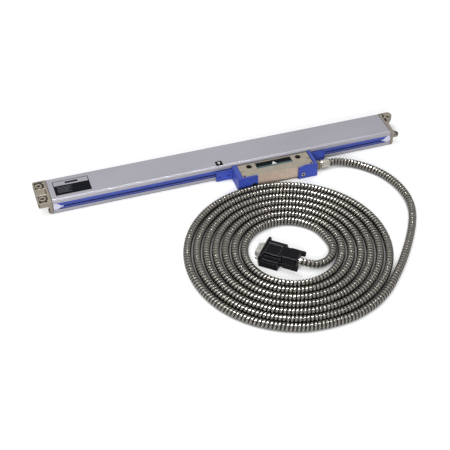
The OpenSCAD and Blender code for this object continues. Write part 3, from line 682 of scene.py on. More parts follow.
def lathe(name: str, profile: Plan, origin: Vector, axis: Vector, sides: int = 48,
          shape: Callable[[float, float, float], float] | None = None) -> Piece:
    """Turns a profile around an axis.

    Args:
        name: name of the piece.
        profile: distance along the axis and radius of each ring; ends are closed.
        origin: point on the axis where the distance is 0.
        axis: direction of the axis.
        sides: number of sides.
        shape: optional change of radius from distance, radius and angle.

    Returns:
        The new piece.
    """
    turn = axis.to_track_quat("Z", "Y").to_matrix()
    rings = []
    for along, radius in profile:
        rings.append([])
        for k in range(sides):
            angle = 2 * math.pi * k / sides
            r = shape(along, radius, angle) if shape else radius
            local = Vector((r * math.cos(angle), r * math.sin(angle), along))
            rings[-1].append(origin + turn @ local)
    return loft(name, rings)


def slab(name: str, low: Point, high: Point) -> Piece:
    """Makes a thin sheet or block between two corners.

    Args:
        name: name of the piece.
        low: lowest corner.
        high: highest corner.

    Returns:
        The new piece.
    """
    return prism(name, oblong(low[0], low[1], high[0], high[1]), low[2], high[2])


def oblong(x0: float, y0: float, x1: float, y1: float) -> Plan:
    """Returns the corners of a rectangle, counter-clockwise."""
    return [(x0, y0), (x1, y0), (x1, y1), (x0, y1)]


def close_up(thing: Piece) -> None:
    """Fills a piece's open ends and turns all its faces outwards.

    Args:
        thing: the piece.
    """
    shape = bmesh.new()
    shape.from_mesh(thing.data)
    bmesh.ops.holes_fill(shape, edges=[e for e in shape.edges if e.is_boundary], sides=0)
    bmesh.ops.recalc_face_normals(shape, faces=shape.faces)
    shape.to_mesh(thing.data)
    shape.free()


def merge(name: str, things: Sequence[Piece]) -> Piece:
    """Joins several objects into one piece.

    Args:
        name: name of the piece.
        things: what to join; they are removed.

    Returns:
        The joined piece.
    """
    shape = bmesh.new()
    for thing in things:
        thing.data.transform(thing.matrix_world)
        shape.from_mesh(thing.data)
        bpy.data.objects.remove(thing)
    return from_shape(name, shape)


def fit(thing: Piece, finishes: Finish | Sequence[Finish], body: Body, slot: str,
        *nodes: str) -> Piece:
    """Dresses a piece and seats it on its body.

    Args:
        thing: the piece.
        finishes: its finish, or one for each of its material indices.
        body: the body that it moves with.
        slot: name of a material slot; not used.
        *nodes: nodes of the frame that it stands for.

    Returns:
        The same piece.
    """
    wanted = [finishes] if isinstance(finishes, Finish) else list(finishes)
    indices = [face.material_index for face in thing.data.polygons]
    thing.data.materials.clear()
    for finish in wanted:
        thing.data.materials.append(finish.material())
    for face, index in zip(thing.data.polygons, indices):
        face.material_index = min(index, len(wanted) - 1)
    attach(thing, body.value)
    if nodes:
        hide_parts(*nodes)
    log.info("%s rides on %s", thing.name, body.value)
    return thing


def dress(finish: Finish, *nodes: str) -> None:
    """Gives nodes that stay as they are a finish.

    Args:
        finish: the finish.
        *nodes: names of the nodes.
    """
    for name in nodes:
        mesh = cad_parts[name].data
        mesh.materials.clear()
        mesh.materials.append(finish.material())
        log.info("%s keeps its shape", name)


# ---- Studio --------------------------------------------------------------------


@dataclass
class Studio:
    """Camera, lamps, world and floor.

    Attributes:
        eye: place of the camera.
        aim: point that it looks at.
        focal: focal length in millimetres, for a sensor of the width below.
        sensor: width of the sensor, in millimetres.
        lamp_aim: point that the lamps face.
        ambient: strength of the world's light.
        floor_half: half the width of the floor.
        floor_drop: how far the floor lies below the object.
        floor_lift: light that the open floor adds for the camera alone.
        paper: brightness of the floor.
        crease: its brightness under the painted shade where the sky is shut out.
        corner: distance within which an object paints shade on the floor beside it.
        closed: share of open sky below which the painted shade is as dark as it gets.
        open: share of open sky above which the floor is white, without painted shade.
    """

    eye: Point = (-0.31116, -0.94813, 0.80820)
    aim: Point = (-0.029, -0.0835, 0.0)
    focal: float = 87.90
    sensor: float = 36.0
    lamp_aim: Point = (0.02, -0.12, 0.0)
    ambient: float = 0.47
    floor_half: float = 6.0
    floor_drop: float = 0.05 * MM
    floor_lift: float = 0.34
    paper: float = 0.93
    crease: float = 0.05
    corner: float = 6.0 * MM
    closed: float = 0.1
    open: float = 0.6

    @staticmethod
    def hang(thing: Piece, place: Point, aim: Point) -> None:
        """Puts a camera or lamp in its place and turns it to a point.

        Args:
            thing: the camera or lamp.
            place: its place.
            aim: the point that it faces.
        """
        thing.location = place
        direction = Vector(aim) - Vector(place)
        thing.rotation_euler = direction.to_track_quat("-Z", "Y").to_euler()
        bpy.context.scene.collection.objects.link(thing)

    def camera(self) -> None:
        """Makes the camera and sets it as the scene's."""
        data = bpy.data.cameras.new("camera")
        data.lens = self.focal
        data.sensor_width = self.sensor
        data.clip_end = 20.0
        camera = bpy.data.objects.new("camera", data)
        self.hang(camera, self.eye, self.aim)
        bpy.context.scene.camera = camera

    @staticmethod
    def seen(tree: Tree) -> Socket:
        """A factor of 1 for rays from the camera, mirrors and glass.

        Args:
            tree: the node tree to add it to.

        Returns:
            The factor.
        """
        path = tree.add("LightPath")
        total = path.outputs["Is Camera Ray"]
        for name in ("Is Glossy Ray", "Is Transmission Ray"):
            total = tree.maths("MAXIMUM", total, path.outputs[name])
        return total

    def world(self) -> None:
        """Makes a white background and an even, plain light."""
        world = bpy.data.worlds.new("studio")
        bpy.context.scene.world = world
        world.use_nodes = True
        tree = Tree(world.node_tree)
        light = tree.add("Background", {"Color": (0.97, 0.98, 1.0, 1.0),
                                        "Strength": self.ambient})
        white = tree.add("Background", {"Color": (1.0, 1.0, 1.0, 1.0), "Strength": 1.0})
        mix = tree.add("MixShader", {"Fac": self.seen(tree), 1: light.outputs[0],
                                     2: white.outputs[0]})
        tree.add("OutputWorld", {"Surface": mix.outputs[0]})

    def floor(self) -> None:
        """Makes the white floor, which keeps the object's shadow and gets painted shade next to
        the object.
        """
        half = self.floor_half
        plane = mesh_object("floor", [(x, y, 0) for x, y in oblong(-half, -half, half, half)],
                            [(0, 1, 2, 3)])
        plane.location.z = -self.floor_drop
        material = bpy.data.materials.new("floor")
        material.use_nodes = True
        tree = Tree(material.node_tree)
        # Painted shade: an ambient-occlusion node darkens the floor's colour and dims its glow
        # next to the object and between the turns of the hose.
        room = tree.add("AmbientOcclusion", {"Distance": self.corner}, samples=8)
        sky = tree.add("MapRange", {"Value": room.outputs["AO"], "From Min": self.closed,
                                    "From Max": self.open}).outputs["Result"]
        tone = tree.add("MapRange", {"Value": sky, "To Min": self.crease, "To Max": self.paper})
        lift = tree.maths("MULTIPLY", self.seen(tree), self.floor_lift)
        glow = tree.add("Emission", {"Strength": tree.maths("MULTIPLY", sky, lift)})
        paper = tree.add("BsdfDiffuse", {"Color": tone.outputs["Result"]})
        both = tree.add("AddShader", {0: paper.outputs[0], 1: glow.outputs[0]})
        tree.add("OutputMaterial", {"Surface": both.outputs[0]})
        plane.data.materials.append(material)

    def lamp(self, name: str, place: Point, size: tuple[float, float], watts: float,
             diffuse: bool = True, glossy: bool = True) -> None:
        """Hangs a soft rectangular lamp that faces the object.

        Args:
            name: name of the lamp.
            place: where it hangs.
            size: its width and height, in metres.
            watts: its power.
            diffuse: False for a strip that only shows as a highlight in shiny surfaces.
            glossy: False for a lamp that leaves no highlight.
        """
        data = bpy.data.lights.new(name, "AREA")
        data.shape = "RECTANGLE"
        data.size, data.size_y = size
        data.energy = watts
        lamp = bpy.data.objects.new(name, data)
        lamp.visible_camera = False
        lamp.visible_diffuse = diffuse
        lamp.visible_glossy = glossy
        self.hang(lamp, place, self.lamp_aim)

    def build(self) -> None:
        """Sets up the whole studio."""
        bpy.context.scene.view_settings.view_transform = "Standard"
        self.world()
        self.floor()
        self.lamp("overhead", (-0.5, 0.35, 1.5), (1.0, 1.0), 7.5)
        self.lamp("key", (-0.6, -1.8, 0.85), (0.5, 0.5), 27.0, glossy=False)
        self.lamp("strip", (-0.05, 0.1, 1.25), (0.9, 0.06), 20.0, diffuse=False)


# ---- Armoured cable ---------------------------------------------------------------


def distances(line: np.ndarray) -> np.ndarray:
    """Returns how far along a line of points each point lies."""
    steps = np.linalg.norm(np.diff(line, axis=0), axis=1)
    return np.concatenate([[0.0], np.cumsum(steps)])


def sample(rows: np.ndarray, along: np.ndarray, wanted: np.ndarray) -> np.ndarray:
    """Reads rows that lie along a line at other distances.

    Args:
        rows: three numbers for each point of the line.
        along: distance of each point.
        wanted: distances to read at.

    Returns:
        One row for each of those distances.
    """
    return np.stack([np.interp(wanted, along, rows[:, k]) for k in range(3)], axis=1)


@dataclass
class Cable:
    """The gland and the interlocked steel hose, from the gland to the plug's ring.

    Attributes:
        radius: outer radius of the hose.
        pitch: distance from one crest to the next.
        groove: depth of the groove between crests.
        sides: sides around the hose.
        seat: length that sits inside the gland and inside the plug's ring.
        knots_per_turn: knots of the route in each turn of the coil.
        coil_centre: centre of the flat spiral, at the front of its first turn.
        first: radius of the first turn.
        step: radius lost in each turn.
        turns: number of turns.
        strip: section of the strip: share of the pitch, height and lit share of each point; a lit
            share below 1 paints shade on the steps and flanks.
        tail: listed points from the gland to the coil.
        lead: listed points from the coil to the plug.
        line: the centreline, one point in each row.
        length: its length.
    """

    radius: float = 4.4 * MM
    pitch: float = 4.0 * MM
    groove: float = 1.0 * MM
    sides: int = 18
    seat: float = 1.6 * MM
    knots_per_turn: int = 36
    coil_centre: tuple[float, float] = (0.024, -0.1482)
    first: float = 0.114
    step: float = 0.0102
    turns: float = 6.72
    strip: tuple[Point, ...] = (
        (0.00, 0.0, 0.2), (0.10, 0.85, 0.0), (0.13, 1.0, 1.0), (0.18, 1.0, 1.0),
        (0.57, 1.0, 1.0), (0.62, 1.0, 1.0), (0.65, 0.85, 0.0), (0.75, 0.0, 0.2),
    )
    tail: tuple[Point, ...] = (
        (0.127, -0.0238, 0.0064), (0.1385, -0.027, 0.0053), (0.1505, -0.0345, 0.0046),
        (0.162, -0.046, 0.0044), (0.171, -0.059, 0.0044), (0.1775, -0.075, 0.0044),
        (0.1808, -0.093, 0.0044), (0.1803, -0.112, 0.0044), (0.1755, -0.131, 0.0044),
        (0.167, -0.149, 0.0044), (0.156, -0.167, 0.0044), (0.1435, -0.185, 0.0044),
        (0.130, -0.2025, 0.0044), (0.1155, -0.219, 0.0044), (0.098, -0.2363, 0.0044),
        (0.0815, -0.2478, 0.0044), (0.0632, -0.2559, 0.0044), (0.044, -0.2607, 0.0044),
    )
    lead: tuple[Point, ...] = (
        (0.069, -0.151, 0.0044), (0.0683, -0.1585, 0.0044), (0.0656, -0.1655, 0.0044),
        (0.0615, -0.171, 0.0044), (0.056, -0.1753, 0.0045), (0.0495, -0.178, 0.0049),
        (0.0425, -0.1788, 0.0058), (0.0352, -0.1772, 0.0069), (0.031, -0.1752, 0.0074),
    )
    line: np.ndarray = field(init=False, repr=False)
    length: float = field(init=False)

    def __post_init__(self) -> None:
        """Works out the centreline and its length."""
        self.line = self.route()
        self.length = float(distances(self.line)[-1])

    def route(self) -> np.ndarray:
        """Works out the centreline, with points close together and evenly spaced.

        Returns:
            The points, one row each.
        """
        low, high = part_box("cable_gland")
        start = Vector((high.x - self.seat, (low.y + high.y) / 2, (low.z + high.z) / 2))
        coil = []
        for i in range(1, int(self.turns * self.knots_per_turn)):
            t = i / self.knots_per_turn
            r = self.first - self.step * t
            angle = 2 * math.pi * t
            coil.append((self.coil_centre[0] - r * math.sin(angle),
                         self.coil_centre[1] - r * math.cos(angle), self.radius))
        plug = Plug()
        end = plug.origin() - plug.axis() * (plug.ring_back - self.seat)
        knots = [start, *map(Vector, (*self.tail, *coil, *self.lead)), end]
        fill = 8
        dense: list[Vector] = []
        for i in range(len(knots) - 1):
            around = (knots[max(i - 1, 0)], knots[i], knots[i + 1],
                      knots[min(i + 2, len(knots) - 1)])
            dense += [self.between(*around, k / fill) for k in range(fill)]
        points = np.array([*dense, knots[-1]])
        along = distances(points)
        count = int(along[-1] / (0.5 * self.pitch))
        return sample(points, along, np.linspace(0.0, along[-1], count))

    @staticmethod
    def between(p0: Vector, p1: Vector, p2: Vector, p3: Vector, t: float) -> Vector:
        """A point on the smooth curve from p1 to p2.

        Args:
            p0: knot before.
            p1: knot where t is 0.
            p2: knot where t is 1.
            p3: knot after.
            t: share of the way.

        Returns:
            The point.
        """
        span = (p2 - p1).length
        before = (p1 - p0).length or span
        after = (p3 - p2).length or span
        m1 = ((p2 - p1) / span + (p1 - p0) / before) * 0.5 * span
        m2 = ((p3 - p2) / after + (p2 - p1) / span) * 0.5 * span
        return ((2 * t ** 3 - 3 * t ** 2 + 1) * p1 + (t ** 3 - 2 * t ** 2 + t) * m1
                + (3 * t ** 2 - 2 * t ** 3) * p2 + (t ** 3 - t ** 2) * m2)

    def hose(self) -> Piece:
        """Winds the strip along the route as one helix.

        Returns:
            The hose.
        """
        along = distances(self.line)
        tangent = np.gradient(self.line, axis=0)
        tangent /= np.linalg.norm(tangent, axis=1)[:, None]
        rings = int(self.length / self.pitch) + 1
        columns = len(self.strip)
        total = rings * self.sides
        wound = np.arange(total)
        angle = 2 * math.pi * wound / self.sides
        vertices = np.zeros((total, columns, 3))
        unshaded = np.zeros((total, columns))
        for j, (share, height, lit_share) in enumerate(self.strip):
            s = np.clip((wound / self.sides + share) * self.length / rings, 0.0, self.length)
            t = sample(tangent, along, s)
            side = np.cross(t, [0.0, 0.0, 1.0])
            side /= np.linalg.norm(side, axis=1)[:, None]
            up = np.cross(side, t)
            r = self.radius - self.groove * (1 - height)
            vertices[:, j] = sample(self.line, along, s) + r * (
                np.cos(angle)[:, None] * side + np.sin(angle)[:, None] * up)
            # Third column of the strip: 1 keeps the steel colour, lower values paint shade on the
            # flanks and steps.
            unshaded[:, j] = lit_share
        faces = []
        for i in range(total - 1):
            a = i * columns
            for j in range(a, a + columns - 1):
                faces.append((j, j + columns, j + columns + 1, j + 1))
            if i + self.sides + 1 < total:
                a += columns - 1
                b = (i + self.sides) * columns
                faces.append((a, a + columns, b + columns, b))
        hose = mesh_object("armoured_hose", vertices.reshape(-1, 3), faces)
        close_up(hose)
        # Stored per point for the material, which paints shade where it is below 1.
        values = hose.data.attributes.new("unshaded", "FLOAT", "POINT")
        spare = len(hose.data.vertices) - total * columns
        values.data.foreach_set("value", np.concatenate([unshaded.reshape(-1), np.ones(spare)]))
        hose.data.shade_smooth()
        fit(hose, HOSE_STEEL, Body.HEAD, "cable_armour", "cable_tail", "cable_coil", "cable_lead")
        log.info("hose of %.3f m", self.length)
        return hose

    @staticmethod
    def gland() -> None:
        """Turns the gland: a brass hexagon at the head and a smooth sleeve over the hose."""
        low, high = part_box("cable_gland")
        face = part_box("right_bracket")[0].x + 23.3 * MM
        centre = Vector((face, (low.y + high.y) / 2, (low.z + high.z) / 2))
        along = Vector((1, 0, 0))
        r = (high.z - low.z) / 2
        end = high.x - face
        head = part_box("head_housing")[1].x - face
        core = 2.9 * MM
        thread = lathe("gland_thread", [(head - 2.4 * MM, core), (0.5 * MM, core)], centre, along)
        hexagon = lathe("gland_hex", [(head, r - 0.5 * MM), (head + 0.5 * MM, r),
                                      (end * 0.33, r), (end * 0.37, r - 0.6 * MM)],
                        centre, along, 6)
        round_edges(hexagon, 0.2 * MM)
        collar = [(0.3, 1.1), (0.40, 0.9), (0.42, 0.25), (0.46, 0.0), (0.52, 0.0),
                  (0.54, 0.25), (0.56, 0.0)]
        profile = [(end * share, r - drop * MM) for share, drop in collar]
        profile += [(end - back * MM, r - drop * MM)
                    for back, drop in ((1.4, 0.0), (0.4, 0.35), (0.0, 0.8))]
        sleeve = lathe("gland_sleeve", profile, centre, along)
        smooth(sleeve)
        smooth(thread)
        for thing, finish in ((hexagon, GLAND_BRASS), (sleeve, NICKEL), (thread, NICKEL)):
            fit(thing, finish, Body.HEAD, "gland_nickel", "cable_gland")
        dress(NICKEL, "gland_nut")


# ---- Screws -----------------------------------------------------------------------------


@dataclass
class Screws:
    """A set of screws whose heads get a drive recess.

    Attributes:
        node: node of the set.
        name: name of the new piece.
        axis: direction that the heads face.
        recess: radius of the recess.
        depth: its depth.
        metal: finish of the heads.
    """

    node: str
    name: str
    axis: Point
    recess: float
    depth: float
    metal: Finish = STEEL

    def build(self, body: Body = Body.HEAD) -> Piece:
        """Makes the screws, with hexagon sockets that take painted shade.

        Args:
            body: the body that they ride on.

        Returns:
            The piece.
        """
        thing = refine(self.node, self.name, 0.12 * MM)
        axis = Vector(self.axis)
        cutters = []
        for low, high in islands(self.node):
            centre = (low + high) / 2
            reach = sum(abs(axis[k]) * (high[k] - low[k]) / 2 for k in range(3))
            top = centre + axis * reach
            profile = [(-self.depth, self.recess), (self.depth, self.recess)]
            cutters.append(lathe("recess", profile, top, axis, 6))
        # The recess faces take painted shade.
        carve(thing, merge("recesses", cutters), Zone.PAINTED_SHADE)
        level(thing)
        return fit(thing, (self.metal, self.metal, SOCKET_SHADE), body, "screw_steel", self.node)


# ---- Plug ---------------------------------------------------------------------------


@dataclass
class Plug:
    """The nine-pin plug: hood, shell, insert, pins and thumbscrews.

    Attributes:
        angle: direction of its mating end on the floor, in degrees.
        front: centre of the hood's front, at half its height.
        ring_back: distance from the hood's front to the back of the cable ring.
        body_back: distance from the hood's front to the end of its wide part.
        neck_back: distance from the hood's front to its back.
        half_width: half the width of the wide part.
        half_neck: half the width of the neck.
        plateau: half the width of the raised middle.
        ledge: height of the ledges beside it.
        wall: length of the full-height wall at the front.
        screw_inset: distance from a side of the wide part to its thumbscrew's axis.
        bore: radius of the holes for the thumbscrews.
        shank: radius of the thumbscrews' shanks.
        tip: how far the thumbscrews stand out in front.
        grip_back: distance from the hood's front to the ends of the grips.
        grip_radius: radius of the grips.
    """

    angle: float = 139.0
    front: Point = (-5.5 * MM, -144.4 * MM, 7.8 * MM)
    ring_back: float = 43.0 * MM
    body_back: float = 22.0 * MM
    neck_back: float = 40.0 * MM
    half_width: float = 16.0 * MM
    half_neck: float = 8.0 * MM
    plateau: float = 9.4 * MM
    ledge: float = 11.6 * MM
    wall: float = 3.2 * MM
    screw_inset: float = 3.5 * MM
    bore: float = 1.55 * MM
    shank: float = 1.42 * MM
    tip: float = 5.0 * MM
    grip_back: float = 43.3 * MM
    grip_radius: float = 2.9 * MM

    def axis(self) -> Vector:
        """Returns the direction of its mating end."""
        a = math.radians(self.angle)
        return Vector((math.cos(a), math.sin(a), 0.0))

    def origin(self) -> Vector:
        """Returns the centre of the hood's front, at half its height."""
        return Vector(self.front)

    def screw_axis(self, side: int) -> Vector:
        """Returns where a thumbscrew's axis meets the hood's front, before it is stood up."""
        return Vector((0, side * (self.half_width - self.screw_inset), self.front[2]))

    def stand(self, thing: Piece) -> None:
        """Turns a piece made along X at the world's origin onto the plug's axis.

        Args:
            thing: the piece.
        """
        foot = self.origin()
        foot.z = 0.0
        turn = Matrix.Rotation(math.radians(self.angle), 4, "Z")
        thing.data.transform(Matrix.Translation(foot) @ turn)

    def outline(self, inset: float = 0.0) -> Plan:
        """The hood's plan, counter-clockwise.

        Args:
            inset: how far it is drawn in on all sides.

        Returns:
            The corners.
        """
        w, n = self.half_width - inset, self.half_neck - inset
        b, e, f = -self.body_back + inset, -self.neck_back + inset, -inset
        return [(f, -w), (f, w), (b, w), (b, n), (e, n), (e, -n), (b, -n), (b, -w)]

    def upper_shell(self) -> Piece:
        """Makes the upper shell, with its raised middle, ledges, recess and grip ribs.

        Returns:
            The shell.
        """
        low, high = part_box("hood_upper_shell")
        above = 20 * MM
        shell = prism("hood_top", self.outline(), low.z, high.z)
        for side in (-1, 1):
            y0, y1 = sorted((side * self.plateau, side * above))
            carve(shell, slab("ledge", (-30 * MM, y0, self.ledge), (-self.wall, y1, above)))
        carve(shell, slab("field", (-19.5 * MM, -7.2 * MM, high.z - 0.5 * MM),
                          (-4.2 * MM, 7.2 * MM, above)))
        for side in (-1, 1):
            y0, y1 = sorted((side * (self.half_neck - 0.6 * MM), side * 9 * MM))
            for k in range(5):
                x = -self.body_back - (3.2 + 2.9 * k) * MM
                carve(shell, slab("rib", (x - 0.6 * MM, y0, low.z + 1.2 * MM),
                                  (x + 0.6 * MM, y1, high.z - 1.4 * MM)))
        return self.closed(shell, "hood_upper_shell")

    def lower_shell(self) -> Piece:
        """Makes the lower shell, drawn in a little below a joint line.

        Returns:
            The shell.
        """
        low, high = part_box("hood_lower_shell")
        shell = prism("hood_bottom", self.outline(0.12 * MM), low.z, high.z)
        carve(shell, slab("field", (-19 * MM, -12 * MM, low.z - 1 * MM),
                          (-4 * MM, 12 * MM, low.z + 0.5 * MM)))
        return self.closed(shell, "hood_lower_shell")

    def closed(self, shell: Piece, node: str) -> Piece:
        """Bores a shell for the thumbscrews, stands it up and dresses it.

        Args:
            shell: the shell, along X.
            node: the node that it stands for.

        Returns:
            The shell.
        """
        for side in (-1, 1):
            carve(shell, lathe("bore", [(-30 * MM, self.bore), (2 * MM, self.bore)],
                               self.screw_axis(side), Vector((1, 0, 0)), 24))
        round_edges(shell, 0.45 * MM, 3)
        self.stand(shell)
        return fit(shell, (HOOD_BLACK, HOOD_EDGE_HIGHLIGHT), Body.HEAD, "hood_plastic", node)

    def thumbscrew(self, name: str, node: str, side: int, body: Body) -> Piece:
        """Makes a jackscrew: grooved end, round shank and ribbed grip with a slot.

        Args:
            name: name of the piece.
            node: the node that it stands for.
            side: 1 for the near side, -1 for the far side.
            body: the body that it turns with.

        Returns:
            The thumbscrew.
        """
        centre = self.screw_axis(side)
        r, shank, relief = self.grip_radius, self.shank, 0.7 * MM
        back, front = -self.grip_back, -self.body_back - 0.3 * MM

        def ribbed(along: float, radius: float, angle: float) -> float:
            """Pulls the grip's flutes in; the shank stays round.

            Args:
                along: distance along the axis.
                radius: radius of the profile there.
                angle: angle around the axis.

            Returns:
                The radius at that angle.
            """
            if radius < 0.8 * r or along > front:
                return radius
            return radius - 0.22 * MM * (math.cos(18 * angle) < 0)

        profile = [(back, r - 0.5 * MM), (back + 0.5 * MM, r), (front - 4.6 * MM, r),
                   (front - 4.2 * MM, r - relief), (front - 0.9 * MM, r - relief),
                   (front - 0.5 * MM, r), (front - 0.2 * MM, r), (front, r - 0.3 * MM),
                   (front, shank)]
        x = 0.2 * MM
        while x < self.tip - 1.2 * MM:
            profile += [(x, shank), (x + 0.2 * MM, shank - 0.18 * MM), (x + 0.4 * MM, shank)]
            x += 0.55 * MM
        profile += [(self.tip - 0.7 * MM, shank), (self.tip, shank - 0.6 * MM)]
        screw = lathe(name, profile, centre, Vector((1, 0, 0)), 72, ribbed)
        carve(screw, slab("slot", (back - 1 * MM, centre.y - 5 * MM, centre.z - 0.5 * MM),
                          (back + 1.4 * MM, centre.y + 5 * MM, centre.z + 0.5 * MM)))
        tint_faces(screw, Zone.TRIM, lambda place, normal: place.x > front + 0.1 * MM)
        smooth(screw)
        self.stand(screw)
        return fit(screw, (HOOD_BLACK, STEEL), body, "thumb_plastic", node)

    def shell(self) -> Piece:
        """Makes the flange and D-shaped shell, with a row of dimples above and below, whose faces
        take painted shade.

        Returns:
            The shell.
        """
        shell = refine("plug_flange", "d_shell", 0.12 * MM)
        across = Vector((-self.axis().y, self.axis().x, 0)) * 3.2 * MM
        profile = [(-0.30 * MM, 0.25 * MM), (-0.24 * MM, 0.6 * MM), (0.3 * MM, 0.8 * MM)]
        dents = []
        for side, count in ((-1, 3), (1, 4)):
            up = Vector((0, 0, side))
            for k in range(count):
                where = (self.origin() + self.axis() * 3.9 * MM
                         + across * (k - (count - 1) / 2) + up * 4.15 * MM)
                dents.append(lathe("dent", profile, where, up, 16))
        # The dimples' faces take painted shade.
        carve(shell, merge("dents", dents), Zone.PAINTED_SHADE)
        level(shell)
        return fit(shell, (TIN, TIN, DIMPLE_SHADE), Body.HEAD, "plug_shell", "plug_flange")

    def build(self) -> list[Piece]:
        """Makes every piece of the plug.

        Returns:
            The pieces.
        """
        made = [
            self.upper_shell(),
            self.lower_shell(),
            self.shell(),
            fit(refine("plug_insert", "pin_block", 0.1 * MM), INSERT_BLACK, Body.HEAD,
                "insert_plastic", "plug_insert"),
            fit(refine("hood_cable_ring", "cable_ring", 0.4 * MM, 3), NICKEL, Body.HEAD,
                "gland_nickel", "hood_cable_ring"),
            self.thumbscrew("near_thumbscrew", "left_thumbscrew", 1, Body.LEFT_SCREW),
            self.thumbscrew("far_thumbscrew", "right_thumbscrew", -1, Body.RIGHT_SCREW),
            Screws("hood_screws", "hood_joint_screws", (0, 0, -1), 0.9 * MM, 0.7 * MM).build(),
        ]
        dress(GOLD, "plug_pins")
        return made + [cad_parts["plug_pins"]]


# ---- Scale -----------------------------------------------------------------------------


@dataclass
class Plate:
    """A thin printed plate: a black film with inlays laid on it.

    Attributes:
        node: node of the plate.
        name: name of the new pieces.
        slot: their material slot.
        body: the body that they ride on.
        film: thickness of one printed layer.
    """

    node: str
    name: str
    slot: str = "label_black"
    body: Body = Body.SCALE
    film: float = 0.02 * MM

    def base(self) -> None:
        """Makes the plate itself, a little lower than its node to leave room for the print."""
        low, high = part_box(self.node)
        plate = slab(f"{self.name}_film", tuple(low), (high.x, high.y, high.z - 3 * self.film))
        round_edges(plate, 0.04 * MM, 1)
        fit(plate, FILM_BLACK, self.body, self.slot, self.node)

    def inlay(self, name: str, finish: Finish, corners: Plan, layer: int = 1) -> None:
        """Lays a printed field on the plate.

        Args:
            name: what the field is.
            finish: its finish.
            corners: its corners as shares of the plate's length and depth,
                counter-clockwise from above.
            layer: 1 lies on the plate, 2 lies on layer 1.
        """
        low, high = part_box(self.node)
        size = high - low
        plan = [(low.x + a * size.x, low.y + b * size.y) for a, b in corners]
        floor = high.z - (4 - layer) * self.film
        piece = prism(f"{self.name}_{name}", plan, floor - 0.5 * self.film, floor + self.film)
        fit(piece, finish, self.body, self.slot)


